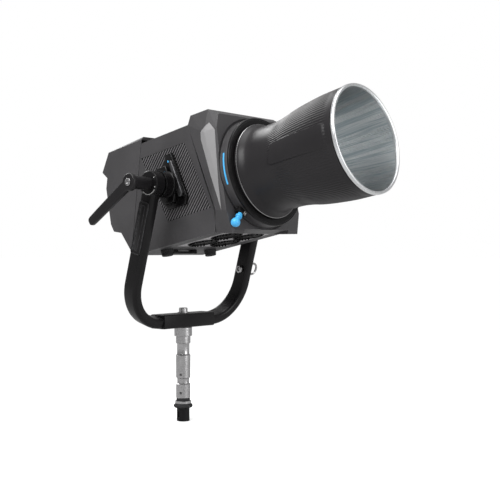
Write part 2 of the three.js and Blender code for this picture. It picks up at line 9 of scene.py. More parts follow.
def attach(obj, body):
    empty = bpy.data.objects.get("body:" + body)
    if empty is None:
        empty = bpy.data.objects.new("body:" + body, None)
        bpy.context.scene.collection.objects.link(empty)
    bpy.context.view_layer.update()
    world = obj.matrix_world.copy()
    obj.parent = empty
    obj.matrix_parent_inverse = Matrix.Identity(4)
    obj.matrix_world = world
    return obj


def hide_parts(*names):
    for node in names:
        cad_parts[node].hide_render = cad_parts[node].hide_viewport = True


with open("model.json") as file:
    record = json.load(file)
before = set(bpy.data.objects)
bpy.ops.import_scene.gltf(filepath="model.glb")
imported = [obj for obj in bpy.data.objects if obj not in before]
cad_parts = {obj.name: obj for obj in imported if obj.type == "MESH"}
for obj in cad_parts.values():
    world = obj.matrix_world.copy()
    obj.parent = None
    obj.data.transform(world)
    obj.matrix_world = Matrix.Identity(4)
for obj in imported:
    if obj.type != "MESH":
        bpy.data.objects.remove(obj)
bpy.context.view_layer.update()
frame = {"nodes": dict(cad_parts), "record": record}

# The studio: a pale floor under the spigot, a large soft key light high on the left, a broad fill in
# front, a rim light behind and a soft light overhead. The camera stands level, on the left of the front.
FLOOR_SIZE, PAINT_ENDS, SWEEP_STARTS = 60, 0.3, 1.5  # metres; between the two the paint gives way to white
BOUNCED_TONE, SOFT_AIR, GLOSSY_AIR = 0.34, 1.0, 0.36
bpy.ops.mesh.primitive_plane_add(size=FLOOR_SIZE, location=(0, 0, 0))
floor = bpy.context.object
floor.name = "studio_floor"
floor_paint = bpy.data.materials.new("studio_floor_paint")
floor_paint.use_nodes = True
floor_shader = floor_paint.node_tree.nodes["Principled BSDF"]
floor_shader.inputs["Roughness"].default_value = 0.9
floor_links = floor_paint.node_tree.links
floor_ray = floor_paint.node_tree.nodes.new("ShaderNodeLightPath")
floor_place = floor_paint.node_tree.nodes.new("ShaderNodeTexCoord")
floor_reach = floor_paint.node_tree.nodes.new("ShaderNodeVectorMath")
floor_reach.operation = "LENGTH"
floor_links.new(floor_place.outputs["Object"], floor_reach.inputs[0])
floor_tone = floor_paint.node_tree.nodes.new("ShaderNodeMapRange")  # the painted tone darkens outwards
floor_glow = floor_paint.node_tree.nodes.new("ShaderNodeMapRange")  # as the sweep's own white takes over
for node, near, far in ((floor_tone, 1.0, 0.0), (floor_glow, 0.0, 1.0)):
    node.interpolation_type = "SMOOTHSTEP"
    stops = {"From Min": PAINT_ENDS, "From Max": SWEEP_STARTS, "To Min": near, "To Max": far}
    for label, number in stops.items():
        node.inputs[label].default_value = number
    floor_links.new(floor_reach.outputs["Value"], node.inputs["Value"])
floor_seen = floor_paint.node_tree.nodes.new("ShaderNodeMix")
floor_seen.inputs["A"].default_value = BOUNCED_TONE
floor_links.new(floor_ray.outputs["Is Camera Ray"], floor_seen.inputs["Factor"])
floor_links.new(floor_tone.outputs["Result"], floor_seen.inputs["B"])
floor_links.new(floor_seen.outputs["Result"], floor_shader.inputs["Base Color"])
floor_light = floor_paint.node_tree.nodes.new("ShaderNodeMath")
floor_light.operation = "MULTIPLY"
floor_links.new(floor_ray.outputs["Is Camera Ray"], floor_light.inputs[0])
floor_links.new(floor_glow.outputs["Result"], floor_light.inputs[1])
floor_shader.inputs["Emission Color"].default_value = (1, 1, 1, 1)
floor_links.new(floor_light.outputs["Value"], floor_shader.inputs["Emission Strength"])
floor.data.materials.append(floor_paint)

world = bpy.data.worlds.new("studio_air")
world.use_nodes = True
air = world.node_tree.nodes["Background"]
air.inputs["Color"].default_value = (1, 1, 1, 1)
ray = world.node_tree.nodes.new("ShaderNodeLightPath")
seen = world.node_tree.nodes.new("ShaderNodeMapRange")
seen.inputs["To Min"].default_value, seen.inputs["To Max"].default_value = SOFT_AIR, GLOSSY_AIR
world.node_tree.links.new(ray.outputs["Is Glossy Ray"], seen.inputs["Value"])
world.node_tree.links.new(seen.outputs["Result"], air.inputs["Strength"])
bpy.context.scene.world = world
bpy.context.scene.view_settings.view_transform = "Standard"

lamp_middle = Vector((0, -0.15, 0.46))
for light_name, place, size, watts in (
    ("key", (-2.4, -0.2, 2.5), 1.7, 72),
    ("front", (0.5, -3.0, 1.1), 2.0, 42),
    ("rim", (0.8, 2.4, 2.2), 1.4, 30),
    ("overhead", (0.0, 0.0, 3.6), 2.0, 40),
):
    light = bpy.data.lights.new(light_name, "AREA")
    light.energy, light.size = watts, size
    light_object = bpy.data.objects.new(light_name, light)
    light_object.location = place
    light_object.rotation_euler = (lamp_middle - Vector(place)).to_track_quat("-Z", "Y").to_euler()
    bpy.context.collection.objects.link(light_object)

camera = bpy.data.cameras.new("camera")
camera.lens, camera.sensor_width = 66.59, 36
camera_object = bpy.data.objects.new("camera", camera)
camera_object.location = (-1.29675, -1.29491, 0.33715)
camera_object.rotation_euler = (math.radians(90.11), 0, math.radians(-49.17))
bpy.context.collection.objects.link(camera_object)
bpy.context.scene.camera = camera_object

# Spigot: a stepped steel pin turned on a lathe, the piece a stand's socket grips. Below it come a
# rubber seal, a steel flange, a rubber buffer ring and a black slotted post.
STAND_MM = Matrix.Scale(0.001, 4)
node_body = {n: b for b, names in frame["record"]["behaviour"]["bodies"].items() for n in names}


def new_piece(name, bm, matrix, edge=0.0, segments=2, sharp=32):
    """A mesh object from a bmesh in millimetres, its edges rounded, its faces out, moved to its place."""
    bmesh.ops.remove_doubles(bm, verts=bm.verts, dist=1e-4)
    bmesh.ops.recalc_face_normals(bm, faces=bm.faces)
    if edge:
        walls = [e for e in bm.edges if len(e.link_faces) == 2]
        corners = [e for e in walls if e.calc_face_angle(0) > math.radians(sharp)]
        bmesh.ops.bevel(
            bm, geom=corners, offset=edge, segments=segments, profile=0.5, affect="EDGES", clamp_overlap=True
        )
    mesh = bpy.data.meshes.new(name)
    bm.to_mesh(mesh)
    bm.free()
    mesh.transform(matrix)
    piece = bpy.data.objects.new(name, mesh)
    bpy.context.collection.objects.link(piece)
    soften(piece, sharp)
    return piece


def soften(piece, sharp):
    piece.data.shade_smooth()
    piece.data.set_sharp_from_angle(angle=math.radians(sharp))


def apply_modifiers(piece):
    """The evaluated mesh becomes the piece's own mesh, and its modifiers go."""
    evaluated = piece.evaluated_get(bpy.context.evaluated_depsgraph_get())
    mesh = bpy.data.meshes.new_from_object(evaluated)
    piece.modifiers.clear()
    piece.data = mesh
    return piece


def combined(piece, tool, operation):
    """piece with tool cut from it, joined to it or kept in common; the tool goes."""
    modifier = piece.modifiers.new("combine", "BOOLEAN")
    modifier.object, modifier.operation, modifier.solver = tool, operation, "EXACT"
    apply_modifiers(piece)
    bpy.data.objects.remove(tool)
    soften(piece, 32)
    return piece


def turned(name, profile, matrix, segments=96, closed=False):
    """A piece turned about local Z from (radius, height) pairs; closed joins the last pair to the first."""
    bm = bmesh.new()
    rings = []
    for radius, height in profile:
        if radius < 1e-6:
            rings.append([bm.verts.new((0, 0, height))])
            continue
        turns = [2 * math.pi * k / segments for k in range(segments)]
        rings.append([bm.verts.new((radius * math.cos(t), radius * math.sin(t), height)) for t in turns])
    pairs = list(zip(rings, rings[1:])) + ([(rings[-1], rings[0])] if closed else [])
    for low, high in pairs:
        for k in range(segments):
            n = (k + 1) % segments
            corners = [low[k % len(low)], low[n % len(low)], high[n % len(high)], high[k % len(high)]]
            corners = list(dict.fromkeys(corners))
            if len(corners) > 2:
                bm.faces.new(corners)
    return new_piece(name, bm, matrix)


def extruded(name, outline, low, high, matrix, edge=0.0, segments=2):
    """An outline in local x, y pulled from low to high along local z, with its edges rounded."""
    bm = bmesh.new()
    bottom = [bm.verts.new((x, y, low)) for x, y in outline]
    top = [bm.verts.new((x, y, high)) for x, y in outline]
    bm.faces.new(bottom[::-1])
    bm.faces.new(top)
    for k in range(len(outline)):
        n = (k + 1) % len(outline)
        bm.faces.new((bottom[k], bottom[n], top[n], top[k]))
    return new_piece(name, bm, matrix, edge, segments)


def ngon(radius, count):
    turns = [2 * math.pi * k / count for k in range(count)]
    return [(radius * math.cos(t), radius * math.sin(t)) for t in turns]


def rectangle(left, low, right, high):
    return [(left, low), (right, low), (right, high), (left, high)]


def rod(radius, low, high):
    """The profile of a plain rod or bore."""
    return [(0, low), (radius, low), (radius, high), (0, high)]


def turned_by(degrees, axis="Z"):
    return Matrix.Rotation(math.radians(degrees), 4, axis)


def along(point, direction):
    """A frame whose local z runs from point in direction."""
    return Matrix.Translation(point) @ Vector(direction).to_track_quat("Z", "Y").to_matrix().to_4x4()


def stands_for(piece, slot_name, material, *cad_nodes):
    """The piece rides with the CAD nodes it stands for, and takes their finish."""
    piece.data.materials.clear()
    piece.data.materials.append(material)
    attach(piece, node_body[cad_nodes[0]])
    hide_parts(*cad_nodes)
    return piece


def extra(piece, body, material):
    """A small fitting with no CAD node of its own."""
    piece.data.materials.clear()
    piece.data.materials.append(material)
    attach(piece, body)
    return piece


def new_group(name, inputs, outputs):
    group = bpy.data.node_groups.new(name, "ShaderNodeTree")
    for label, kind, value in inputs:
        made = group.interface.new_socket(label, in_out="INPUT", socket_type=kind)
        if value is not None:
            made.default_value = value
    for label, kind in outputs:
        group.interface.new_socket(label, in_out="OUTPUT", socket_type=kind)
    return group, group.nodes.new("NodeGroupInput"), group.nodes.new("NodeGroupOutput")


def math_node(tree, operation, a, b=None, clamp=False):
    node = tree.nodes.new("ShaderNodeMath")
    node.operation, node.use_clamp = operation, clamp
    for socket, value in zip(node.inputs, (a, b)):
        if value is None:
            continue
        if isinstance(value, (int, float)):
            socket.default_value = value
        else:
            tree.links.new(value, socket)
    return node.outputs[0]


def noise_node(tree, vector, scale, detail=3.0, roughness=0.55):
    node = tree.nodes.new("ShaderNodeTexNoise")
    node.inputs["Detail"].default_value = detail
    node.inputs["Roughness"].default_value = roughness
    tree.links.new(vector, node.inputs["Vector"])
    if isinstance(scale, (int, float)):
        node.inputs["Scale"].default_value = scale
    else:
        tree.links.new(scale, node.inputs["Scale"])
    return node.outputs["Fac"]


def ramp_node(tree, value, stops):
    node = tree.nodes.new("ShaderNodeMapRange")
    node.clamp = True
    for label, number in zip(("From Min", "From Max", "To Min", "To Max"), stops):
        node.inputs[label].default_value = number
    tree.links.new(value, node.inputs["Value"])
    return node.outputs["Result"]


# Worn edges show a paler rub where hands and cases touch: the normal is compared with one rounded over a
# millimetre or so, and noise breaks the line up.
rub_group, rub_in, rub_out = new_group(
    "edge_rub",
    [("Vector", "NodeSocketVector", None), ("Breakup", "NodeSocketFloat", 160.0)],
    [("Mask", "NodeSocketFloat")],
)
rub_geometry = rub_group.nodes.new("ShaderNodeNewGeometry")
rub_round = rub_group.nodes.new("ShaderNodeBevel")
rub_round.samples = 4
rub_round.inputs["Radius"].default_value = 0.0011
rub_dot = rub_group.nodes.new("ShaderNodeVectorMath")
rub_dot.operation = "DOT_PRODUCT"
rub_group.links.new(rub_geometry.outputs["True Normal"], rub_dot.inputs[0])
rub_group.links.new(rub_round.outputs["Normal"], rub_dot.inputs[1])
rub_edge = ramp_node(rub_group, rub_dot.outputs["Value"], (0.99, 0.9, 0.0, 1.0))
rub_noise = noise_node(rub_group, rub_in.outputs["Vector"], rub_in.outputs["Breakup"], 4.0)
rub_broken = ramp_node(rub_group, rub_noise, (0.35, 0.6, 0.25, 1.0))
rub_group.links.new(math_node(rub_group, "MULTIPLY", rub_edge, rub_broken, True), rub_out.inputs["Mask"])

# Dust settles in a thin film on what faces up, thicker in some patches than others.
dust_group, dust_in, dust_out = new_group(
    "settled_dust", [("Vector", "NodeSocketVector", None)], [("Mask", "NodeSocketFloat")]
)
dust_geometry = dust_group.nodes.new("ShaderNodeNewGeometry")
dust_split = dust_group.nodes.new("ShaderNodeSeparateXYZ")
dust_group.links.new(dust_geometry.outputs["Normal"], dust_split.inputs[0])
dust_up = ramp_node(dust_group, dust_split.outputs["Z"], (0.45, 1.0, 0.0, 1.0))
dust_noise = noise_node(dust_group, dust_in.outputs["Vector"], 28.0, 5.0)
dust_patch = ramp_node(dust_group, dust_noise, (0.35, 0.75, 0.2, 1.0))
dust_group.links.new(math_node(dust_group, "MULTIPLY", dust_up, dust_patch, True), dust_out.inputs["Mask"])


def new_finish(name):
    material = bpy.data.materials.new(name)
    material.use_nodes = True
    tree = material.node_tree
    coords = tree.nodes.new("ShaderNodeTexCoord").outputs["Object"]
    return material, tree, tree.nodes["Principled BSDF"], coords


def use_group(tree, group, vector):
    node = tree.nodes.new("ShaderNodeGroup")
    node.node_tree = group
    tree.links.new(vector, node.inputs["Vector"])
    return node


def mixed(tree, mask, a, b):
    node = tree.nodes.new("ShaderNodeMix")
    node.data_type = "RGBA"
    for socket, value in ((node.inputs[0], mask), (node.inputs[6], a), (node.inputs[7], b)):
        if isinstance(value, (int, float)):
            socket.default_value = value
        elif isinstance(value, tuple):
            socket.default_value = (*value, 1)
        else:
            tree.links.new(value, socket)
    return node.outputs[2]


def coloured(tree, shader, mask, a, b):
    """The base colour runs from a to b with the mask."""
    tree.links.new(mixed(tree, mask, a, b), shader.inputs["Base Color"])


def roughened(tree, shader, value, stops):
    tree.links.new(ramp_node(tree, value, stops), shader.inputs["Roughness"])


def bumped(tree, shader, height, strength, distance=0.0004):
    bump = tree.nodes.new("ShaderNodeBump")
    bump.inputs["Strength"].default_value = strength
    bump.inputs["Distance"].default_value = distance
    tree.links.new(height, bump.inputs["Height"])
    tree.links.new(bump.outputs["Normal"], shader.inputs["Normal"])


def brushed_steel(name, colour, stretch, rough, stain=0.5):
    """Bare metal with fine tool marks and dull stains; stretch scales the marks along each axis."""
    material, tree, shader, coords = new_finish(name)
    mapping = tree.nodes.new("ShaderNodeMapping")
    mapping.inputs["Scale"].default_value = stretch
    tree.links.new(coords, mapping.inputs["Vector"])
    marks = noise_node(tree, mapping.outputs["Vector"], 1.0, 4.0)
    stains = noise_node(tree, coords, 60.0, 4.0)
    dull = tuple(c * 0.62 for c in colour)
    coloured(tree, shader, ramp_node(tree, stains, (0.35, 0.7, 0.0, stain)), colour, dull)
    shader.inputs["Metallic"].default_value = 1.0
    roughened(tree, shader, marks, (0.3, 0.7, rough - 0.08, rough + 0.12))
    bumped(tree, shader, marks, 0.18)
    return material


DUST, DUST_AMOUNT = (0.42, 0.41, 0.4), 0.05


def coated(name, colour, rough, grain, depth, gloss, rub=(0.2, 0.2, 0.21), rub_amount=0.3, mottle=0.12):
    """Powder-coated metal: a fine orange-peel grain, slow mottling, rubbed edges and a film of dust."""
    material, tree, shader, coords = new_finish(name)
    slow = noise_node(tree, coords, 14.0, 4.0)
    fine = noise_node(tree, coords, grain, 2.0)
    pale = tuple(min(1.0, c * (1 + mottle)) for c in colour)
    dark = tuple(c * (1 - mottle) for c in colour)
    base = mixed(tree, ramp_node(tree, slow, (0.3, 0.7, 0.0, 1.0)), dark, pale)
    base = mixed(tree, ramp_node(tree, fine, (0.45, 0.62, 0.0, 0.12)), base, pale)
    rubbed = math_node(tree, "MULTIPLY", use_group(tree, rub_group, coords).outputs["Mask"], rub_amount)
    base = mixed(tree, rubbed, base, rub)
    dusty = math_node(tree, "MULTIPLY", use_group(tree, dust_group, coords).outputs["Mask"], DUST_AMOUNT)
    coloured(tree, shader, dusty, base, DUST)
    roughened(tree, shader, slow, (0.3, 0.7, rough - 0.05, rough + 0.07))
    shader.inputs["Specular IOR Level"].default_value = gloss
    bumped(tree, shader, fine, depth)
    return material


def rubbery(name, colour, rough=0.8):
    material, tree, shader, coords = new_finish(name)
    blotch = noise_node(tree, coords, 90.0, 5.0)
    pale = tuple(c * 2.2 + 0.006 for c in colour)
    coloured(tree, shader, ramp_node(tree, blotch, (0.4, 0.75, 0.0, 0.6)), colour, pale)
    roughened(tree, shader, blotch, (0.3, 0.7, rough - 0.08, rough + 0.1))
    bumped(tree, shader, noise_node(tree, coords, 1800.0, 2.0), 0.2)
    return material


turned_steel = brushed_steel("turned_steel", (0.5, 0.495, 0.5), (40.0, 40.0, 4200.0), 0.26, 0.35)
black_coat = coated("black_powder_coat", (0.0062, 0.0058, 0.0063), 0.3, 1500.0, 0.06, 0.2, rub_amount=0.12)
black_rubber = rubbery("black_rubber", (0.011, 0.011, 0.012))

NECK, PIN_RADIUS, PIN_TOP = 9, 14.3, 184.7
CROSS_HOLE, CROSS_HOLE_HEIGHTS = 2.6, (56, 92)
pin_profile = [(0, 26), (NECK, 26), (NECK, 45.3), (13.8, 45.3), (PIN_RADIUS, 45.9), (PIN_RADIUS, 72.6)]
pin_profile += [(12.1, 74.2), (12, 74.8), (12, 83.2), (12.1, 83.8), (PIN_RADIUS, 85.4), (PIN_RADIUS, 129.6)]
pin_profile += [(12.4, 131.6), (12.2, 132.2), (12.2, 151.6), (12.5, 152.3), (PIN_RADIUS, 153.7)]
pin_profile += [(PIN_RADIUS, 166.8), (14.9, 167.2), (17, 167.5), (17.5, 168.1), (17.5, 184), (17, PIN_TOP)]
pin = turned("steel_pin", pin_profile + [(0, PIN_TOP)], STAND_MM)
for height in CROSS_HOLE_HEIGHTS:
    through_pin = STAND_MM @ Matrix.Translation((0, 0, height)) @ turned_by(25) @ turned_by(90, "Y")
    combined(pin, turned("drill", rod(CROSS_HOLE, -20, 20), through_pin, 32), "DIFFERENCE")
stands_for(pin, "steel", turned_steel, "spigot_pin")
ON_NECK = NECK + 0.3
seal_profile = [(ON_NECK, 40.3), (13, 40.3), (13.5, 40.9), (13.5, 44.3), (13, 45), (ON_NECK, 45)]
seal = turned("neck_seal", seal_profile, STAND_MM, closed=True)
stands_for(seal, "rubber", black_rubber, "spigot_seal")
flange_profile = [(ON_NECK, 34.3), (15.4, 34.3), (16, 34.9), (16, 39.3), (15.3, 40), (ON_NECK, 40)]
flange = turned("neck_flange", flange_profile, STAND_MM, closed=True)
stands_for(flange, "steel", turned_steel, "spigot_flange")
buffer_round = [math.radians(a) for a in range(90, -91, -15)]
buffer_profile = [(ON_NECK, 26), (ON_NECK, 34)]
buffer_profile += [(14.8 + 4 * math.cos(t), 30 + 4 * math.sin(t)) for t in buffer_round]
buffer_ring = turned("buffer_ring", buffer_profile[::-1], STAND_MM, closed=True)
stands_for(buffer_ring, "rubber", black_rubber, "spigot_buffer")
post_profile = [(0, 0), (11.9, 0), (12.7, 0.8), (12.7, 25.2), (12.2, 25.7), (0, 25.7)]
post = turned("slotted_post", post_profile, STAND_MM)
slot_tool = extruded("slot_tool", rectangle(-20, 7, 20, 20), -2, 2, STAND_MM @ turned_by(90, "X"))
combined(post, slot_tool, "DIFFERENCE")
stands_for(post, "black_metal", black_coat, "spigot_post")

# Yoke block: a black rectangular sleeve that takes the two yoke arms, bolted down on the spigot by a
# steel socket-head bolt with a washer.
BLOCK_LENGTH, BLOCK_DEPTH, BLOCK_HEIGHT, BAR_Z, BOLT_SEAT = 138, 40, 27.5, 198.75, 212.8


def rounded(width, height, radius, steps=6):
    """A rectangle with round corners about the middle."""
    outline = []
    for k, (sx, sy) in enumerate(((1, 1), (-1, 1), (-1, -1), (1, -1))):
        for i in range(steps + 1):
            turn = (k + i / steps) * math.pi / 2
            x = sx * (width / 2 - radius) + radius * math.cos(turn)
            y = sy * (height / 2 - radius) + radius * math.sin(turn)
            outline.append((x, y))
    return outline


ACROSS = Matrix(((0, 0, 1, 0), (1, 0, 0, 0), (0, 1, 0, 0), (0, 0, 0, 1)))  # local x, y, z to y, z, x
sleeve_at = STAND_MM @ Matrix.Translation((0, 0, BAR_Z)) @ ACROSS
sleeve_section = rounded(BLOCK_DEPTH, BLOCK_HEIGHT, 4)
block = extruded("yoke_sleeve", sleeve_section, -BLOCK_LENGTH / 2, BLOCK_LENGTH / 2, sleeve_at, 0.8, 3)
stands_for(block, "black_metal", black_coat, "yoke_block")
bolt_at = STAND_MM @ Matrix.Translation((0, 0, BOLT_SEAT))
bolt_profile = [(0, 0), (10.7, 0), (11, 0.3), (11, 1.7), (10.7, 2), (8.5, 2), (8.5, 9), (7.7, 10), (0, 10)]
bolt = turned("bolt_and_washer", bolt_profile, bolt_at, 64)
combined(bolt, extruded("hexagon", ngon(4, 6), 6, 12, bolt_at), "DIFFERENCE")
stands_for(bolt, "steel", turned_steel, "block_bolt")

# Yoke arms: two black-coated steel tubes, bent upwards out of the sleeve and leaning forward, each
# ending in a round head that carries the tilt pivot. The right arm is drilled for the safety eye.
PIVOT = (0.0, -71.857, 456.11)
ARM_X, ARM_TOP, ARM_BEND = 150, 267.2, 78
TUBE_DEPTH, TUBE_THICK, TUBE_CORNER = 34, 20, 7
YOKE_LEAN, EYE_HEIGHT = 15.6, 102  # degrees forward; above the bar
YOKE_MM = STAND_MM @ Matrix.Translation((0, 0, BAR_Z)) @ turned_by(YOKE_LEAN, "X")
SIDEWAYS = turned_by(90, "Y")  # local z to x


def bent_arm(name, side):
    centre = ARM_X - ARM_BEND
    path = [((BLOCK_LENGTH / 2 + 0.3, 0), (0, -1))]
    for k in range(33):
        turn = math.radians(-90 + 90 * k / 32)
        out = (math.cos(turn), math.sin(turn))
        path.append(((centre + ARM_BEND * out[0], ARM_BEND + ARM_BEND * out[1]), out))
    path.append(((ARM_X, ARM_TOP - 8), (1, 0)))
    bm = bmesh.new()
    section = rounded(TUBE_DEPTH, TUBE_THICK, TUBE_CORNER, 8)
    rings = [
        [bm.verts.new((side * (x + n * nx), y, z + n * nz)) for y, n in section] for (x, z), (nx, nz) in path
    ]
    for low, high in zip(rings, rings[1:]):
        for k in range(len(section)):
            n = (k + 1) % len(section)
            bm.faces.new((low[k], low[n], high[n], high[k]))
    bm.faces.new(rings[0])
    bm.faces.new(rings[-1])
    return new_piece(name, bm, YOKE_MM)


at_pivot = YOKE_MM @ Matrix.Translation((0, 0, ARM_TOP)) @ SIDEWAYS
at_eye = YOKE_MM @ Matrix.Translation((0, 0, EYE_HEIGHT)) @ SIDEWAYS
for side, hand in ((-1, "left"), (1, "right")):
    arm = bent_arm("yoke_tube_" + hand, side)
    head_disc = [(0, 139.3), (21.8, 139.3), (23, 140.5), (23, 159.5), (21.8, 160.7), (0, 160.7)]
    combined(arm, turned("arm_head", [(r, side * x) for r, x in head_disc], at_pivot, 128), "UNION")
    combined(arm, turned("arm_bore", rod(8.1, side * 130, side * 170), at_pivot, 64), "DIFFERENCE")
    if hand == "right":
        combined(arm, turned("eye_bore", rod(4.3, 130, 170), at_eye, 32), "DIFFERENCE")
    stands_for(arm, "black_metal", black_coat, "yoke_arm_" + hand)

# Arm strip: a black moulded cover let into the outside of the left arm, with a raised border whose edges
# are rubbed bright and a row of fine grip teeth along its rear.
strip_black = coated("strip_black", (0.006, 0.0055, 0.006), 0.34, 1200.0, 0.06, 0.25, rub_amount=0.45)
repeat_tree = bpy.data.node_groups.new("repeat_shape", "GeometryNodeTree")
repeat_socket = {}
for label, kind in (
    ("Shape", "NodeSocketGeometry"),
    ("Count", "NodeSocketInt"),
    ("Start", "NodeSocketVector"),
    ("Step", "NodeSocketVector"),
    ("Turn", "NodeSocketVector"),
    ("Material", "NodeSocketMaterial"),
):
    made = repeat_tree.interface.new_socket(label, in_out="INPUT", socket_type=kind)
    repeat_socket[label] = made.identifier
repeat_tree.interface.new_socket("Geometry", in_out="OUTPUT", socket_type="NodeSocketGeometry")
repeat_in, repeat_out = repeat_tree.nodes.new("NodeGroupInput"), repeat_tree.nodes.new("NodeGroupOutput")
repeat_points = repeat_tree.nodes.new("GeometryNodePoints")
repeat_index = repeat_tree.nodes.new("GeometryNodeInputIndex")
repeat_steps = repeat_tree.nodes.new("ShaderNodeVectorMath")
repeat_steps.operation = "MULTIPLY_ADD"
repeat_turns = repeat_tree.nodes.new("ShaderNodeVectorMath")
repeat_turns.operation = "MULTIPLY"
repeat_copies = repeat_tree.nodes.new("GeometryNodeInstanceOnPoints")
repeat_real = repeat_tree.nodes.new("GeometryNodeRealizeInstances")
repeat_paint = repeat_tree.nodes.new("GeometryNodeSetMaterial")
for out_socket, in_socket in (
    (repeat_in.outputs["Count"], repeat_points.inputs["Count"]),
    (repeat_index.outputs["Index"], repeat_steps.inputs[0]),
    (repeat_in.outputs["Step"], repeat_steps.inputs[1]),
    (repeat_in.outputs["Start"], repeat_steps.inputs[2]),
    (repeat_steps.outputs["Vector"], repeat_points.inputs["Position"]),
    (repeat_index.outputs["Index"], repeat_turns.inputs[0]),
    (repeat_in.outputs["Turn"], repeat_turns.inputs[1]),
    (repeat_points.outputs["Points"], repeat_copies.inputs["Points"]),
    (repeat_in.outputs["Shape"], repeat_copies.inputs["Instance"]),
    (repeat_turns.outputs["Vector"], repeat_copies.inputs["Rotation"]),
    (repeat_copies.outputs["Instances"], repeat_real.inputs["Geometry"]),
    (repeat_real.outputs["Geometry"], repeat_paint.inputs["Geometry"]),
    (repeat_in.outputs["Material"], repeat_paint.inputs["Material"]),
    (repeat_paint.outputs["Geometry"], repeat_out.inputs["Geometry"]),
):
    repeat_tree.links.new(out_socket, in_socket)


def in_line(count, step, start=(0, 0, 0)):
    return count, start, step, (0, 0, 0)


def round_axis(count, apart=None):
    """Copies turned about local z, so many degrees apart, or spread all the way round."""
    turn = 2 * math.pi / count if apart is None else math.radians(apart)
    return count, (0, 0, 0), (0, 0, 0), (0, 0, turn)


def repeated(shape, matrix, material, *rows):
    """The shape, drawn in millimetres, repeated by each row in turn and moved to its place."""
    for count, start, step, turn in rows:
        modifier = shape.modifiers.new("repeat", "NODES")
        modifier.node_group = repeat_tree
        modifier[repeat_socket["Count"]] = count
        modifier[repeat_socket["Start"]] = start
        modifier[repeat_socket["Step"]] = step
        modifier[repeat_socket["Turn"]] = turn
        modifier[repeat_socket["Material"]] = material
    apply_modifiers(shape)
    shape.data.transform(matrix)
    soften(shape, 32)
    return shape


def joined(piece, *others):
    """Several meshes as one piece."""
    bm = bmesh.new()
    for each in (piece, *others):
        bm.from_mesh(each.data)
    bm.to_mesh(piece.data)
    bm.free()
    for each in others:
        bpy.data.objects.remove(each)
    soften(piece, 32)
    return piece


def ring_of(name, outer, inner, low, high, matrix, edge=0.0):
    """A flat ring between two outlines that have the same number of points."""
    bm = bmesh.new()
    loops = [[bm.verts.new((x, y, z)) for x, y in loop] for z in (low, high) for loop in (outer, inner)]
    for k in range(len(outer)):
        n = (k + 1) % len(outer)
        for a, b in ((0, 1), (2, 3), (0, 2), (1, 3)):
            bm.faces.new((loops[a][k], loops[a][n], loops[b][n], loops[b][k]))
    return new_piece(name, bm, matrix, edge)


STRIP_WIDTH, STRIP_LENGTH, STRIP_MIDDLE, BORDER = 25, 98, 184.2, 1.8
strip_at = YOKE_MM @ Matrix.Translation((0, 0, STRIP_MIDDLE)) @ ACROSS
strip_edge = rounded(STRIP_WIDTH, STRIP_LENGTH, 5)
border_inside = rounded(STRIP_WIDTH - 2 * BORDER, STRIP_LENGTH - 2 * BORDER, 3.4)
strip = extruded("arm_cover", strip_edge, -161.1, -160.3, strip_at)
border = ring_of("border", strip_edge, border_inside, -162, -161.1, strip_at, 0.25)
inner_panel = extruded("inner_panel", rounded(9.5, 84, 2), -161.9, -161.1, strip_at, 0.3)
AS_DRAWN = Matrix.Identity(4)
tooth = extruded("tooth", rectangle(6.2, -1, 9.4, 1), -161.8, -161.1, AS_DRAWN, 0.2, 1)
teeth = repeated(tooth, strip_at, strip_black, in_line(29, (0, 3.1, 0), (0, -43.4, 0)))
stands_for(joined(strip, border, inner_panel, teeth), "black_metal", strip_black, "arm_strip")

# Pivot marks: a pale ring segment, tick marks and two pointer triangles round the left pivot, which
# show the tilt. They are pad-printed on the arm's head.
mark_white, tree, shader, coords = new_finish("pale_marks_white")
worn_mark_mask = ramp_node(tree, noise_node(tree, coords, 700.0, 3.0), (0.25, 0.45, 0.0, 1.0))
coloured(tree, shader, worn_mark_mask, (0.28, 0.28, 0.28), (0.68, 0.68, 0.67))
shader.inputs["Roughness"].default_value = 0.55


def arc_band(radius_in, radius_out, start, end, steps=24):
    turns = [math.radians(start + (end - start) * k / steps) for k in range(steps + 1)]
    outer = [(radius_out * math.cos(t), radius_out * math.sin(t)) for t in turns]
    return outer + [(radius_in * math.cos(t), radius_in * math.sin(t)) for t in reversed(turns)]


marks_at = YOKE_MM @ Matrix.Translation((0, 0, ARM_TOP)) @ ACROSS
PRINT_TOP, PRINT_FOOT = -160.76, -160.5
marks = extruded("pivot_marks", arc_band(19.3, 19.9, 200, 300), PRINT_TOP, PRINT_FOOT, marks_at)
pointer = extruded("pointer", [(17.4, -1.2), (19.6, 0), (17.4, 1.2)], PRINT_TOP, PRINT_FOOT, AS_DRAWN)
pointer.data.transform(turned_by(128))
pointers = repeated(pointer, marks_at, mark_white, round_axis(2, 58))
tick = extruded("tick", rectangle(20, -0.18, 21.4, 0.18), PRINT_TOP, PRINT_FOOT, AS_DRAWN)
tick.data.transform(turned_by(205))
ticks = repeated(tick, marks_at, mark_white, round_axis(10, 10))
extra(joined(marks, pointers, ticks), "base", mark_white)

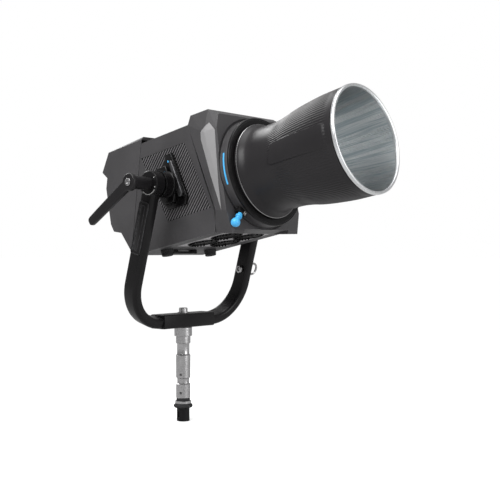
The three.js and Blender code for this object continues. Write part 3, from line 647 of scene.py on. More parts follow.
# Safety eye: a forged steel ring on a threaded shank through the right arm, held by a hexagon nut inside.
# A safety wire clips into it. The cap over the right pivot is a black domed screw with a hexagon socket.
EYE_RING, EYE_WIRE, THREAD_START, THREAD_PITCH, THREAD_TURNS = 11.5, 2.3, 136.3, 1.05, 22
eye_at = YOKE_MM @ Matrix.Translation((177.5, 0, EYE_HEIGHT)) @ turned_by(90, "X")
eye_section = [(EYE_RING + x, y) for x, y in ngon(EYE_WIRE, 20)]
eye = turned("eye_bolt", eye_section, eye_at, 72, closed=True)
thread = [(0, 136)]
for k in range(THREAD_TURNS):
    root = THREAD_START + k * THREAD_PITCH
    thread += [(3.6, root), (4, root + 0.5)]
thread += [(3.9, 160), (3.9, 160.3), (6, 160.3), (6.5, 160.9), (6.5, 163.4), (5, 164.6), (4.4, 166.2)]
combined(eye, turned("eye_shank", thread + [(0, 167.4)], at_eye, 40), "UNION")
stands_for(eye, "steel", turned_steel, "safety_eye")
nut = extruded("eye_nut", ngon(8, 6), 133.7, 139.3, at_eye, 0.5)
combined(nut, turned("nut_bore", rod(4.3, 130, 142), at_eye, 32), "DIFFERENCE")
stands_for(nut, "steel", turned_steel, "safety_eye_nut")
cap_profile = [(0, 161), (16.6, 161), (17, 161.5), (17, 165.8), (16.5, 166.8), (15, 168), (0, 168)]
cap = turned("pivot_screw_cap", cap_profile, at_pivot, 96)
combined(cap, extruded("hexagon", ngon(5, 6), 164.5, 170, at_pivot), "DIFFERENCE")
stands_for(cap, "black_metal", black_coat, "pivot_cap")

# Tilt lever: a die-cast handle with a turned hub that clamps the tilt from the left. It is lifted to turn
# it freely, and a steel screw in its boss keeps it on.
LEVER_DROP = 33  # degrees below level, to the rear
LEVER_MM = STAND_MM @ Matrix.Translation(PIVOT) @ turned_by(-LEVER_DROP, "X")
lever_across = LEVER_MM @ SIDEWAYS
lever_black = coated("lever_black", (0.0095, 0.0088, 0.0096), 0.3, 1300.0, 0.06, 0.26, rub_amount=0.12)
boss_profile = [(0, -161), (11.6, -161), (12, -161.5), (12, -197.5), (12.8, -199.2), (15, -200)]
boss_profile += [(15.5, -200.8), (15.5, -207.6), (15, -208.5), (14.2, -209), (0, -209)]
lever = turned("clamp_lever", boss_profile, lever_across, 96)
half_widths = [(4, 11), (24, 10.2), (60, 9.6), (100, 9), (120, 8.5), (124.5, 7.6), (127.2, 5.6), (128, 3.2)]
handle = half_widths + [(y, -w) for y, w in reversed(half_widths)]
combined(lever, extruded("handle", handle, -208.9, -200, LEVER_MM @ ACROSS, 2.2, 4), "UNION")
combined(lever, turned("screw_seat", rod(7.3, -206.5, -215), lever_across, 64), "DIFFERENCE")
stands_for(lever, "black_metal", lever_black, "tilt_lever")
lever_screw_at = LEVER_MM @ turned_by(-90, "Y") @ Matrix.Translation((0, 0, 206.8))
lever_screw_profile = [(0, 0), (6.8, 0), (6.8, 3.52), (6.12, 4.2), (0, 4.2)]
lever_screw = turned("lever_screw", lever_screw_profile, lever_screw_at, 48)
combined(lever_screw, extruded("hexagon", ngon(3.4, 6), 1.68, 5.2, lever_screw_at), "DIFFERENCE")
pip = turned("pip", rod(0.75, 4.0, 4.2), AS_DRAWN, 12)
pip.data.transform(Matrix.Translation((5, 0, 0)))
pips = repeated(pip, lever_screw_at, turned_steel, round_axis(6))
stands_for(joined(lever_screw, pips), "steel", turned_steel, "tilt_lever_screw")

# Head case: folded and welded aluminium sheet with a warm grey powder coat, open in front for the bezel
# and behind for the cover. Its sides have a slanted window each for the louvres.
HEAD_TILT = 11.2  # degrees up at rest
HEAD_MM = STAND_MM @ Matrix.Translation(PIVOT) @ turned_by(-HEAD_TILT, "X")
head_side = HEAD_MM @ ACROSS  # outlines as (-u, w), u forward along the lamp and w up, pulled along x
CASE_GREY, CASE_RUB = (0.048, 0.0462, 0.0485), (0.25, 0.25, 0.26)
case_coat = coated("case_grey_coat", CASE_GREY, 0.5, 1150.0, 0.1, 0.35, rub=CASE_RUB, mottle=0.1)


def eased(node, name, edge, segments=2, sharp=32):
    """A copy of a node's solid with its flat faces made whole and its edges rounded, in millimetres."""
    bm = bmesh.new()
    bm.from_mesh(frame["nodes"][node].data)
    bm.transform(Matrix.Scale(1000, 4))
    bmesh.ops.remove_doubles(bm, verts=bm.verts, dist=2e-3)
    bmesh.ops.dissolve_limit(bm, angle_limit=math.radians(0.6), verts=bm.verts, edges=bm.edges)
    return new_piece(name, bm, STAND_MM, edge, segments, sharp)


stands_for(eased("case_shell", "head_case", 0.35, 2, 20), "case_grey", case_coat, "case_shell")

# Side louvres: slanting pressed ribs with rounded edges over a black backing, set inside each window.
# The air from the fans leaves here.
louvre_black = rubbery("louvre_black", (0.0035, 0.0035, 0.004), 0.75)
RIB_GREY, RIB_RUB = (0.13, 0.124, 0.13), (0.3, 0.3, 0.31)
rib_grey = coated("louvre_rib_grey", RIB_GREY, 0.42, 1300.0, 0.06, 0.4, rub=RIB_RUB, rub_amount=0.4)
RIB_PITCH, RIB_WIDTH, RIB_SLOPE, RIB_COUNT, RIB_REACH = 5.4, 1.9, 44, 37, 150
window = [(78, 72), (-40, 71), (-82, -61), (30, -62)]
middle = [sum(p[k] for p in window) / 4 for k in (0, 1)]
window = [tuple(middle[k] + (p[k] - middle[k]) * 0.993 for k in (0, 1)) for p in window]
across_ribs = Vector((math.sin(math.radians(RIB_SLOPE)), math.cos(math.radians(RIB_SLOPE)), 0)) * RIB_PITCH
first_rib = Vector((-2, 5, 0)) - across_ribs * (RIB_COUNT // 2)
for side, hand in ((-1, "left"), (1, "right")):
    low, high = sorted((side * 93.0, side * 94.8))
    blank = rectangle(-RIB_REACH, -RIB_WIDTH / 2, RIB_REACH, RIB_WIDTH / 2)
    rib = extruded("rib", blank, low, high, AS_DRAWN, 0.45, 2)
    rib.data.transform(turned_by(180 - RIB_SLOPE))
    ribs = repeated(rib, head_side, rib_grey, in_line(RIB_COUNT, across_ribs, first_rib))
    ribs.name = "louvre_ribs_" + hand
    low, high = sorted((side * 92.5, side * 96))
    combined(ribs, extruded("window", window, low, high, head_side), "INTERSECT")
    stands_for(ribs, "case_grey", rib_grey, "louvre_" + hand)
    low, high = sorted((side * 92.2, side * 93.3))
    backing = extruded("louvre_backing_" + hand, window, low, high, head_side)
    stands_for(backing, "black_plastic", louvre_black, "louvre_" + hand)

# Bottom plate: a light grey sheet with four fan openings and drain slots near its edges, held by six
# cross-slotted screws along its front and rear.
# The plate's grey is partly its own light grey and partly painted light: it is lightened to stand in for light
# bounced up onto the underside.
PLATE_GREY_WITH_BOUNCE, PLATE_RUB = (0.38, 0.37, 0.38), (0.45, 0.45, 0.46)
plate_grey = coated("plate_grey_coat", PLATE_GREY_WITH_BOUNCE, 0.45, 1200.0, 0.1, 0.4, rub=PLATE_RUB, mottle=0.1)
FAN_BORE, FAN_PITCH, FAN_U, DRAIN_X, SCREW_X, SCREW_Y = 27.5, 61, 22, 62, 61.5, 79.5
plate = extruded("fan_plate", rectangle(-65.7, -83.4, 65.7, 43.7), -106, -103, HEAD_MM, 0.4)
fan_places = [
    (row + "_" + hand, side * FAN_PITCH / 2, -(FAN_U + ahead * FAN_PITCH / 2))
    for row, ahead in (("front", 1), ("rear", -1))
    for hand, side in (("left", -1), ("right", 1))
]
bore = turned("bore", rod(FAN_BORE, -110, -100), AS_DRAWN, 96)
bore.data.transform(Matrix.Translation((-FAN_PITCH / 2, -FAN_U - FAN_PITCH / 2, 0)))
bores = repeated(bore, HEAD_MM, plate_grey, in_line(2, (FAN_PITCH, 0, 0)), in_line(2, (0, FAN_PITCH, 0)))
combined(plate, bores, "DIFFERENCE")
drain = extruded("drain", rounded(1.8, 6, 0.89, 4), -110, -100, AS_DRAWN)
drain.data.transform(Matrix.Translation((-DRAIN_X, -68, 0)))
drains = repeated(drain, HEAD_MM, plate_grey, in_line(2, (2 * DRAIN_X, 0, 0)), in_line(4, (0, 32, 0)))
combined(plate, drains, "DIFFERENCE")
stands_for(plate, "plate_grey", plate_grey, "bottom_plate")
screw = turned("plate_screws", [(0, 0.6), (2.6, 0.6), (2.6, -0.1), (1.95, -0.55), (0, -0.67)], AS_DRAWN, 24)
for turn in (0, 90):
    cross_slot = extruded("slot", rectangle(-1.5, -0.28, 1.5, 0.28), -2, -0.2, AS_DRAWN)
    cross_slot.data.transform(turned_by(turn))
    combined(screw, cross_slot, "DIFFERENCE")
screw.data.transform(Matrix.Translation((-SCREW_X, -SCREW_Y, -106.02)))
screws = repeated(screw, HEAD_MM, turned_steel, in_line(3, (SCREW_X, 0, 0)), in_line(2, (0, 119, 0)))
extra(screws, "head", turned_steel)

# Fan guards: round black steel grilles punched with rings of holes, with a rolled rim that laps over the
# edge of the plate's opening.
guard_black = coated("guard_black", (0.0022, 0.002, 0.0022), 0.5, 1400.0, 0.05, 0.08, rub_amount=0.05)
grille_profile = [(0, -106.2), (9, -106.2), (10.2, -106.7), (11, -105.8), (27.2, -105.8), (28, -107)]
grille_profile += [(29.6, -107.1), (30.2, -106.6), (30.2, -106.1), (26.8, -106.1), (26.8, -104.6)]
grille = turned("grille", grille_profile + [(0, -104.6)], AS_DRAWN, 96)
for radius, count in ((13.4, 14), (17.4, 18), (21.4, 22), (25.2, 26)):
    punch = turned("punch", rod(1.6, -109, -102), AS_DRAWN, 12)
    punch.data.transform(Matrix.Translation((radius, 0, 0)))
    combined(grille, repeated(punch, AS_DRAWN, guard_black, round_axis(count)), "DIFFERENCE")


def at_each_fan(piece, name, material, node):
    """A copy of the piece at each of the plate's openings, standing for that opening's CAD node."""
    for place, x, y in fan_places:
        copy = bpy.data.objects.new(name + place, piece.data.copy())
        bpy.context.collection.objects.link(copy)
        copy.data.transform(HEAD_MM @ Matrix.Translation((x, y, 0)))
        stands_for(copy, "black_plastic", material, node + place)
    bpy.data.objects.remove(piece)


at_each_fan(grille, "fan_grille_", guard_black, "fan_guard_")

# Cooling fans: a moulded hub with seven cambered blades under each guard, drawing air in from below.
fan_black = rubbery("fan_black_nylon", (0.007, 0.007, 0.0075), 0.45)
BLADE_ROOT, BLADE_REACH, BLADE_HALF, BLADE_CAMBER, STEPS = 8.6, 14.6, 0.45, 1.3, 8


def blade_point(out, over, side):
    """A point of a blade, out of its reach from 0 to 1 and over its width from -1 to 1, on one side."""
    r = BLADE_ROOT + BLADE_REACH * out
    pitch = math.radians(50 - 16 * out)
    across = over / 2 * (12 + 2 * out)
    camber = BLADE_CAMBER * (1 - over**2)
    turn = (across * math.cos(pitch) - camber * math.sin(pitch)) / r + 0.12 * out**2
    rise = across * math.sin(pitch) + camber * math.cos(pitch)
    return r * math.cos(turn), r * math.sin(turn), rise + side * BLADE_HALF * (1 - 0.75 * abs(over))


bm = bmesh.new()
sides = [
    [
        [bm.verts.new(blade_point(i / STEPS, 2 * k / STEPS - 1, side)) for k in range(STEPS + 1)]
        for i in range(STEPS + 1)
    ]
    for side in (-1, 1)
]
for rows in sides:
    for i in range(STEPS):
        for k in range(STEPS):
            bm.faces.new((rows[i][k], rows[i][k + 1], rows[i + 1][k + 1], rows[i + 1][k]))
under, over = sides
for i in range(STEPS):
    for k in (0, STEPS):
        bm.faces.new((under[i][k], under[i + 1][k], over[i + 1][k], over[i][k]))
        bm.faces.new((under[k][i], under[k][i + 1], over[k][i + 1], over[k][i]))
blade = new_piece("blade", bm, AS_DRAWN)
rotor = repeated(blade, Matrix.Translation((0, 0, -97)), fan_black, round_axis(7))
hub_profile = [(0, -103.2), (7.6, -103.2), (9, -102.6), (9.5, -101.6), (9.5, -92), (0, -92)]
joined(rotor, turned("hub", hub_profile, AS_DRAWN, 48))
at_each_fan(rotor, "fan_rotor_", fan_black, "fan_")

# Feet: two ribbed rubber pads screwed under the rear of the case, with a black bent bar between them
# that keeps the head off a table.
UNDERSIDE = -106.3
UPRIGHT = Matrix(((1, 0, 0, 0), (0, 0, -1, 0), (0, 1, 0, 0), (0, 0, 0, 1)))  # local y up, z to -y
foot_profile = [(0, -118), (9.8, -118), (10.8, -117.2), (11.2, -116), (11.2, -115), (10.8, -114.6)]
foot_profile += [(10.8, -114), (11.5, -113.6), (11.5, -112), (11.1, -111.6), (11.1, -111), (12, -110.5)]
foot_profile += [(12.2, -109.5), (12.2, UNDERSIDE), (0, UNDERSIDE)]
for side, hand in ((-1, "left"), (1, "right")):
    foot_at = HEAD_MM @ Matrix.Translation((side * 60, 78, 0))
    foot = turned("rubber_foot_" + hand, foot_profile, foot_at, 64)
    combined(foot, turned("recess", rod(4, -119, -114), foot_at, 32), "DIFFERENCE")
    stands_for(foot, "rubber", black_rubber, "foot_" + hand)
bar_outline = [(-44, UNDERSIDE), (-44, -112), (-42, -114), (18, -114), (20, -112), (20, UNDERSIDE)]
bar_outline += [(8, UNDERSIDE), (8, -107.5), (6.5, -109), (-30.5, -109), (-32, -107.5), (-32, UNDERSIDE)]
low_bar = extruded("table_bar", bar_outline, -88, -76, HEAD_MM @ UPRIGHT, 0.9, 3)
stands_for(low_bar, "black_metal", black_coat, "bottom_bar")

# Rear cover: a deep-drawn aluminium cap in the case's grey coat, standing proud at the top with an
# overhanging lip and slanting in below, where the sockets are.
cover = eased("rear_cover", "rear_cap", 1.0, 3, 20)
stands_for(cover, "case_grey", case_coat, "rear_cover")

# Control panel: a black moulded plate in the rear wall. It carries a glass display with plain lit bars,
# two ridged knobs, three rubber buttons and a power rocker.
panel_black = rubbery("panel_black_plastic", (0.017, 0.017, 0.018), 0.5)
BACKWARDS = turned_by(-90, "X")  # local z to +y, local y down
head_back = HEAD_MM @ BACKWARDS
panel = eased("control_panel", "panel_plate", 0.8, 3, 20)
stands_for(panel, "black_plastic", panel_black, "control_panel")
glass_black, tree, shader, coords = new_finish("display_glass")
smear = noise_node(tree, coords, 45.0, 5.0)
smeared = ramp_node(tree, smear, (0.4, 0.75, 0.0, 0.4))
coloured(tree, shader, smeared, (0.004, 0.006, 0.009), (0.02, 0.024, 0.03))
roughened(tree, shader, smear, (0.35, 0.75, 0.04, 0.2))
display = eased("display", "display_window", 0.5, 3)
stands_for(display, "screen", glass_black, "display")
lit_blue, tree, shader, coords = new_finish("lit_segments")
glow = ramp_node(tree, noise_node(tree, coords, 300.0, 2.0), (0.3, 0.7, 0.55, 0.85))
lit = mixed(tree, glow, (0.05, 0.25, 0.4), (0.25, 0.65, 0.9))
for label in ("Base Color", "Emission Color"):
    tree.links.new(lit, shader.inputs[label])
shader.inputs["Emission Strength"].default_value = 0.6
level = extruded("level", rectangle(-27, -27.5, -23.5, -21), 193.0, 193.08, AS_DRAWN)
levels = repeated(level, head_back, lit_blue, in_line(11, (4.9, 0, 0)))
line = extruded("line", rectangle(-27, -15.5, 8, -14.3), 193.0, 193.08, AS_DRAWN)
lines = repeated(line, head_back, lit_blue, in_line(4, (0, 4.2, 0)))
extra(joined(levels, lines), "head", lit_blue).name = "display_levels"

KNOB_X, KNOB_HEIGHT, KNOB_RIDGES, BUTTON_PITCH, BUTTON_HEIGHT = 56, 12, 40, 20, -17
core_profile = [(0, 0), (10.6, 0), (10.6, 13.4), (9.6, 14.7), (8.8, 15), (8.2, 14.6), (0, 14.6)]
ridge_outline = [(10.2, -0.42), (10.8, -0.32), (11, 0), (10.8, 0.32), (10.2, 0.42)]
for side, hand in ((-1, "left"), (1, "right")):
    knob_at = HEAD_MM @ Matrix.Translation((side * KNOB_X, 191.7, KNOB_HEIGHT)) @ BACKWARDS
    knob = turned("knob_core_" + hand, core_profile, knob_at, 72)
    dent = turned("dent", rod(1.6, 14.2, 17), knob_at @ Matrix.Translation((6, 0, 0)), 24)
    combined(knob, dent, "DIFFERENCE")
    ridge = extruded("ridge", ridge_outline, 1.2, 12.6, AS_DRAWN, 0.12, 1)
    ridges = repeated(ridge, knob_at, panel_black, round_axis(KNOB_RIDGES))
    stands_for(joined(knob, ridges), "black_plastic", panel_black, "control_knob_" + hand)
button_profile = [(0, 187), (4, 187), (4, 192.7), (3.6, 193.3), (3, 193.4), (2.2, 193.2), (0, 193.1)]
for k in (1, 2, 3):
    button_at = HEAD_MM @ Matrix.Translation(((k - 2) * BUTTON_PITCH, 0, BUTTON_HEIGHT)) @ BACKWARDS
    button = turned(f"push_button_{k}", button_profile, button_at, 40)
    stands_for(button, "rubber", black_rubber, f"button_{k}")
rocker = eased("power_rocker", "power_switch", 0.5, 2, 20)
stands_for(rocker, "black_plastic", panel_black, "power_rocker")

# Sockets: the mains inlet is a moulded ring with three plated pins, and the data socket a plated shell
# with five thinner ones, both screwed to the slanting wall.
slant = Vector((0, 36, -19)).normalized()
for name, x, radius, depth, pins, pin_ring, pin, finish, slot_name in (
    ("power_inlet", -45, 14, 12, 3, 5.2, 1.7, panel_black, "black_plastic"),
    ("data_socket", 30, 10, 8, 5, 3.9, 0.9, turned_steel, "steel"),
):
    socket_at = HEAD_MM @ along(Vector((x, 151.5, -74)) + slant * 0.3, slant)
    inside = radius - 3
    shell_profile = [(0, 0), (radius, 0), (radius, depth - 1), (radius - 0.8, depth)]
    shell_profile += [(inside + 0.5, depth), (inside, depth - 0.6), (inside, depth - 3.5), (0, depth - 3.5)]
    shell = turned(name + "_shell", shell_profile, socket_at, 64)
    bottom, shoulder, tip = depth - 3.6, depth - 1.2, depth - 0.7
    contact_profile = [(0, bottom), (pin, bottom), (pin, shoulder), (pin * 0.6, tip), (0, tip)]
    contact = turned("contact", contact_profile, AS_DRAWN, 16)
    contact.data.transform(Matrix.Translation((pin_ring, 0, 0)))
    contacts = repeated(contact, socket_at, turned_steel, round_axis(pins))
    stands_for(shell, slot_name, finish, name)
    extra(contacts, "head", turned_steel).name = name + "_pins"

# Front bezel: a faceted die-cast frame round the light opening, in the case's grey, with a satin grey
# inlay let into each side.
bezel = eased("front_bezel", "bezel_casting", 0.5, 2, 9)
soften(bezel, 9)
stands_for(bezel, "case_grey", case_coat, "front_bezel")
INLAY_GREY, INLAY_RUB = (0.235, 0.231, 0.235), (0.6, 0.6, 0.6)
inlay_coat = coated("inlay_satin_grey", INLAY_GREY, 0.36, 1500.0, 0.06, 0.4, rub=INLAY_RUB, mottle=0.05)
for hand in ("left", "right"):
    inlay = eased("inlay_" + hand, "side_inlay_" + hand, 0.3, 2, 9)
    soften(inlay, 9)
    stands_for(inlay, "inlay_grey", inlay_coat, "inlay_" + hand)

# Reflector mount: a turned grey drum on the bezel with a blue index stripe, and in front of it the black
# bayonet ring that holds the reflector.
AXIS_W, ROUND = -4.6, 256
LAMP_MM = HEAD_MM @ Matrix.Translation((0, 0, AXIS_W)) @ turned_by(90, "X")  # local z forward
drum_profile = [(84, 121.4), (100, 121.4), (100.5, 122), (100.5, 124.6), (100.1, 125), (100.1, 125.6)]
drum_profile += [(100.5, 126), (100.5, 138), (99.5, 139.4), (84, 139.4)]
drum = turned("mount_drum_wall", drum_profile, LAMP_MM, ROUND, closed=True)
stands_for(drum, "case_grey", case_coat, "mount_drum")
ring_profile = [(88.5, 139.7), (100, 139.7), (101.2, 140.4), (101.5, 141.2), (101.5, 143.8)]
ring_profile += [(101.2, 144.6), (100, 145.7), (98.4, 145.7), (98.1, 145.3), (97.3, 145.3)]
ring_profile += [(97, 145.7), (91.5, 145.7), (89.2, 145.3), (88.5, 144.5)]
mount_ring = turned("bayonet_ring", ring_profile, LAMP_MM, ROUND, closed=True)
stands_for(mount_ring, "black_metal", black_coat, "mount_ring")
index_blue, tree, shader, coords = new_finish("index_blue")
shade = ramp_node(tree, noise_node(tree, coords, 380.0, 4.0), (0.3, 0.7, 0.0, 1.0))
coloured(tree, shader, shade, (0.045, 0.36, 0.74), (0.075, 0.47, 0.86))
roughened(tree, shader, noise_node(tree, coords, 500.0, 3.0), (0.3, 0.7, 0.3, 0.45))
stripe = extruded("index_stripe", arc_band(100.3, 100.75, 162, 195, 48), 130, 133.4, LAMP_MM)
extra(stripe, "head", index_blue)

# Release: a black guide block at the lower left of the drum, with two plain pale tick marks on its
# front, and, sliding in it on a spring, a moulded blue pull knob with a collar and a round end.
release_block = eased("release_housing", "release_guide", 1.2, 3)
stands_for(release_block, "black_metal", black_coat, "release_housing")
release_tick = extruded("release_ticks", rectangle(103, -0.4, 110.4, 0.4), 139.3, 139.5, AS_DRAWN)
release_tick.data.transform(turned_by(225))
beside = Vector((1, -1, 0)).normalized()
release_ticks = repeated(release_tick, LAMP_MM, mark_white, in_line(2, beside * 3, beside * 3.4))
extra(release_ticks, "head", mark_white)
PULL_BALL, PULL_BALL_AT = 8.4, 133.5
pull_profile = [(0, 111.8), (4.2, 111.8), (4.2, 115.6), (4.6, 116), (5.6, 116), (6, 116.4), (6, 120.6)]
pull_profile += [(5.6, 121), (4.6, 121.2), (4.2, 121.8), (4.2, 126.2)]
for turn in (math.radians(a) for a in range(36, 180, 6)):
    pull_profile.append((PULL_BALL * math.sin(turn), PULL_BALL_AT - PULL_BALL * math.cos(turn)))
pull_profile.append((0, PULL_BALL_AT + PULL_BALL))
release_at = HEAD_MM @ along((0, -134.3, AXIS_W), (-1, 0, -1))
pull = turned("release_pull_knob", pull_profile, release_at, 64)
stands_for(pull, "blue_plastic", index_blue, "release_plunger")

# Light engine: a copper carrier with the yellow-phosphor emitter, a finned aluminium heat sink behind it
# and a green driver board at the rear, all inside the case.
copper = brushed_steel("copper_carrier", (0.6, 0.27, 0.13), (300.0, 3000.0, 300.0), 0.35)
fin_metal = brushed_steel("fin_aluminium", (0.72, 0.73, 0.74), (60.0, 1600.0, 60.0), 0.35)
stands_for(eased("emitter_plate", "emitter_carrier", 0.5), "copper", copper, "emitter_plate")


def cellular(name, scale, feature, near, far, a, b, rough):
    """A finish of small cells, from colour a to b over near to far in each cell."""
    material, tree, shader, coords = new_finish(name)
    cells = tree.nodes.new("ShaderNodeTexVoronoi")
    cells.feature = feature
    cells.inputs["Scale"].default_value = scale
    tree.links.new(coords, cells.inputs["Vector"])
    distance = cells.outputs["Distance"]
    coloured(tree, shader, ramp_node(tree, distance, (near, far, 0.0, 1.0)), a, b)
    roughened(tree, shader, distance, (near, far, *rough))
    return material


YELLOW, AMBER = (0.85, 0.62, 0.08), (0.7, 0.42, 0.04)
TRACK_GREEN, BOARD_GREEN = (0.05, 0.2, 0.07), (0.012, 0.085, 0.03)
phosphor = cellular("phosphor_gel", 520.0, "F1", 0.1, 0.7, YELLOW, AMBER, (0.25, 0.5))
emitter_profile = [(0, 97.8), (21, 97.8), (21, 99.6), (20.4, 100.2), (19.2, 100.5), (18.4, 100), (0, 100)]
emitter = turned("emitter_disc", emitter_profile, LAMP_MM, 96)
stands_for(emitter, "phosphor", phosphor, "emitter")
board_green = cellular(
    "driver_board_lacquer", 160.0, "DISTANCE_TO_EDGE", 0.02, 0.06, TRACK_GREEN, BOARD_GREEN, (0.25, 0.4)
)
for node, material in (("heat_sink", fin_metal), ("driver_board", board_green)):
    frame["nodes"][node].data.materials.clear()
    frame["nodes"][node].data.materials.append(material)

# Trunnions: black castings screwed to the case's sides, each with a foot plate, a raised block and the
# turned drum that runs in the arm's head. A blue dot on the left one marks level.
TRUNNION_PARTS = (
    ([(-6, 60), (9, 60), (33, -26), (27, -42), (-20, -42), (-27, -30), (-25, 30)], 95.3, 101, 1.2),
    ([(1, 59), (9, 59), (32, -26), (25, -26)], 100, 103.5, 0.7),
    ([(-22, 36), (2, 36), (15.5, -22), (10, -34), (-18, -34), (-24, -20)], 100, 114, 1.8),
)
GLOSS_BLACK, GLOSS_RUB = (0.0028, 0.0026, 0.0028), (0.3, 0.3, 0.31)
gloss_black = coated("trunnion_gloss_black", GLOSS_BLACK, 0.2, 900.0, 0.03, 0.3, GLOSS_RUB, 0.12)
drum_in_arm = [(0, 113), (25, 113), (25, 119), (24.4, 119.5), (24.4, 120.3), (25, 120.8), (25, 137.9)]
drum_in_arm += [(24, 138.2), (8, 138.2), (8, 158.2), (7.2, 159), (0, 159)]
for side, hand in ((-1, "left"), (1, "right")):
    pieces = []
    for outline, low, high, edge in TRUNNION_PARTS:
        low, high = sorted((side * low, side * high))
        outline = [(-u, w) for u, w in outline]
        pieces.append(extruded("casting_" + hand, outline, low, high, head_side, edge, 3))
    pieces.append(turned("pivot_drum", [(r, side * x) for r, x in drum_in_arm], HEAD_MM @ SIDEWAYS, 128))
    casting, *others = pieces
    for other in others:
        combined(casting, other, "UNION")
    stands_for(casting, "black_metal", gloss_black, "trunnion_" + hand)
dot_at = HEAD_MM @ along((-101, 2, 45.5), (-1, 0, 0))
dot = turned("level_dot", [(0, 0), (1.9, 0), (1.9, 0.3), (1.6, 0.45), (0, 0.45)], dot_at, 32)
extra(dot, "head", index_blue)

# Latches: a cast zinc lever with a satin face in front of each block, hinged at its lower end.
latch_zinc = brushed_steel("latch_zinc", (0.13, 0.13, 0.135), (900.0, 60.0, 60.0), 0.42)
latch_outline = [(-7, 42), (-12, 44), (-15, 40), (-30.5, -20), (-27, -27), (-20, -26.5), (-17.5, -21)]
for side, hand in ((-1, "left"), (1, "right")):
    low, high = sorted((side * 103.9, side * 110))
    latch = extruded("swing_latch_" + hand, latch_outline, low, high, head_side, 1.6, 4)
    stands_for(latch, "plate_grey", latch_zinc, "latch_" + hand)

# Reflector barrel: a spun and moulded black outer wall, waisted behind, with a flange at the mount. Fine
# flutes run along it to the rim, broken on the left by a smooth raised grip pad.
SATIN_BLACK = (0.0165, 0.0152, 0.0166)
barrel_black = coated(
    "barrel_satin_black", SATIN_BLACK, 0.36, 1100.0, 0.05, 0.28, rub_amount=0.0, mottle=0.06
)
BARREL_WALL, FLUTES, FLUTE_DEPTH, PAD_RISE = 2.2, 118, 0.55, 1.3
flange_end = [(84, 140.5), (86.5, 140.5), (86.5, 146), (87.4, 146), (87.8, 146.4), (87.8, 149.1), (87.3, 149.6)]
outside = [(84, 153), (79.8, 163), (78.4, 182), (79.2, 210), (82.5, 234), (87.2, 256), (91.2, 286)]
outside += [(94.2, 320), (95.2, 361)]


def smooth_curve(points, steps):
    """Points on a smooth curve through (radius, height) pairs."""
    ends = [points[0], *points, points[-1]]
    curve = []
    for a, b, c, d in zip(ends, ends[1:], ends[2:], ends[3:]):
        for k in range(steps):
            t = k / steps
            curve.append(
                tuple(
                    0.5 * (2 * b[i] + (c[i] - a[i]) * t + (2 * a[i] - 5 * b[i] + 4 * c[i] - d[i]) * t**2)
                    + 0.5 * (3 * b[i] - a[i] - 3 * c[i] + d[i]) * t**3
                    for i in (0, 1)
                )
            )
    return [*curve, points[-1]]


def step_up(low, high, value):
    t = min(1.0, max(0.0, (value - low) / (high - low)))
    return t * t * (3 - 2 * t)


def on_pad(u, w, corner=9.0):
    """1 on the grip pad, 0 off it, with rounded corners and sloping sides."""
    ends = max(215 + 0.28 * w - u, u - (347.5 + 0.07 * w))
    sides = max(-17 - 0.044 * (u - 209) - w, w - (21 - 0.008 * (u - 221)))
    a, b = ends + corner, sides + corner
    distance = min(max(a, b), 0) + math.hypot(max(a, 0), max(b, 0)) - corner
    return step_up(0.0, 1.5, -distance)


SEGMENTS = FLUTES * 6
bm = bmesh.new()
rings = []
for radius, u in flange_end + smooth_curve(outside, 14):
    ring = []
    fluted = step_up(206, 224, u) * (1 - step_up(347, 353, u))
    for k in range(SEGMENTS):
        turn = 2 * math.pi * k / SEGMENTS
        r = radius
        if u > 190:
            pad = on_pad(u, r * math.sin(turn) + AXIS_W) if math.cos(turn) < 0 else 0.0
            groove = (0.5 + 0.5 * math.cos(FLUTES * turn)) ** 0.7
            r += PAD_RISE * pad - FLUTE_DEPTH * groove * fluted * (1 - pad)
        ring.append(bm.verts.new((r * math.cos(turn), r * math.sin(turn), u)))
    rings.append(ring)
for radius, u in [(r - BARREL_WALL, u) for r, u in reversed(smooth_curve(outside, 2))] + [(84, 149)]:
    rings.append([bm.verts.new((x, y, u)) for x, y in ngon(radius, SEGMENTS)])
for low, high in zip(rings, rings[1:] + rings[:1]):
    for k in range(SEGMENTS):
        n = (k + 1) % SEGMENTS
        bm.faces.new((low[k], low[n], high[n], high[k]))
barrel = new_piece("fluted_barrel", bm, LAMP_MM)
stands_for(barrel, "black_metal", barrel_black, "reflector_barrel")
# Painted highlight: a thin ring of bright bare steel round the flange's outer edge, standing in for the line of
# light along the black flange's rim.
flange_highlight_profile = [(87.2, 149.3), (87.75, 148.8), (88.05, 149.0), (88.05, 149.4), (87.5, 150), (87.2, 149.9)]
flange_highlight_ring = turned("flange_painted_highlight", flange_highlight_profile, LAMP_MM, ROUND, closed=True)
extra(flange_highlight_ring, "reflector", turned_steel)

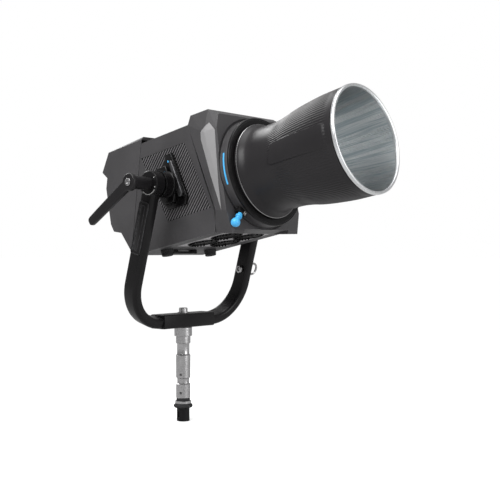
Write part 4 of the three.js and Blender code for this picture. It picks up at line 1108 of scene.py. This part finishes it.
# Reflector bowl: spun aluminium, bright-dipped and brushed from neck to mouth, so it shows long streaks.
# It slides into the barrel and its rim is rolled over the barrel's end.
bowl_points = [(42, 152), (52, 158), (60.5, 176), (68, 205), (75.5, 240), (82, 278), (87, 318), (91, 362)]
bowl_curve, BOWL_WALL = smooth_curve(bowl_points, 8), 1.2
streaked, tree, shader, coords = new_finish("bowl_bright_aluminium")
centred = tree.nodes.new("ShaderNodeMapping")
centred.vector_type = "TEXTURE"
lamp_place, lamp_turn, _ = LAMP_MM.decompose()
centred.inputs["Location"].default_value = lamp_place
centred.inputs["Rotation"].default_value = lamp_turn.to_euler()
tree.links.new(coords, centred.inputs["Vector"])
flat = tree.nodes.new("ShaderNodeVectorMath")
flat.operation = "MULTIPLY"
flat.inputs[1].default_value = (1, 1, 0)
tree.links.new(centred.outputs["Vector"], flat.inputs[0])
spoke = tree.nodes.new("ShaderNodeVectorMath")
spoke.operation = "NORMALIZE"
tree.links.new(flat.outputs["Vector"], spoke.inputs[0])
stretched = tree.nodes.new("ShaderNodeVectorMath")
stretched.operation = "MULTIPLY_ADD"
stretched.inputs[1].default_value = (0, 0, 0.35)
tree.links.new(centred.outputs["Vector"], stretched.inputs[0])
tree.links.new(spoke.outputs["Vector"], stretched.inputs[2])
broad = noise_node(tree, stretched.outputs["Vector"], 6.0, 2.0)
fine = noise_node(tree, stretched.outputs["Vector"], 42.0, 3.0)
broad_part = math_node(tree, "MULTIPLY", broad, 0.55)
streak = math_node(tree, "ADD", broad_part, math_node(tree, "MULTIPLY", fine, 0.45))
streaky = ramp_node(tree, streak, (0.41, 0.55, 0.0, 1.0))
coloured(tree, shader, streaky, (0.58, 0.645, 0.67), (1.0, 1.0, 1.0))
shader.inputs["Metallic"].default_value = 1.0
roughened(tree, shader, streak, (0.38, 0.62, 0.42, 0.2))
bumped(tree, shader, streak, 0.2, 0.001)
bowl_back = [(r + BOWL_WALL, u) for r, u in bowl_curve]
bowl = turned("bright_bowl", bowl_back + bowl_curve[::-1], LAMP_MM, ROUND, closed=True)
stands_for(bowl, "bright_aluminium", streaked, "reflector_bowl")

# Rolled rim: the bowl's polished edge, beaded round the mouth with a fine groove beside it.
rim_bright = brushed_steel("rim_polished", (0.82, 0.83, 0.84), (1500.0, 1500.0, 1500.0), 0.3, 0.0)
rim_profile = [(90.5, 362.4), (95.3, 362.4), (96.1, 363.4), (96.1, 365.4), (95.5, 365.8), (95.5, 366.2)]
rim_profile += [(96, 366.7), (95.8, 367.9), (95, 369), (94, 369.3), (92.4, 369.3), (91.2, 368.7)]
rim = turned("rolled_rim", rim_profile + [(90.5, 367.5)], LAMP_MM, ROUND, closed=True)
stands_for(rim, "bright_aluminium", rim_bright, "reflector_rim")
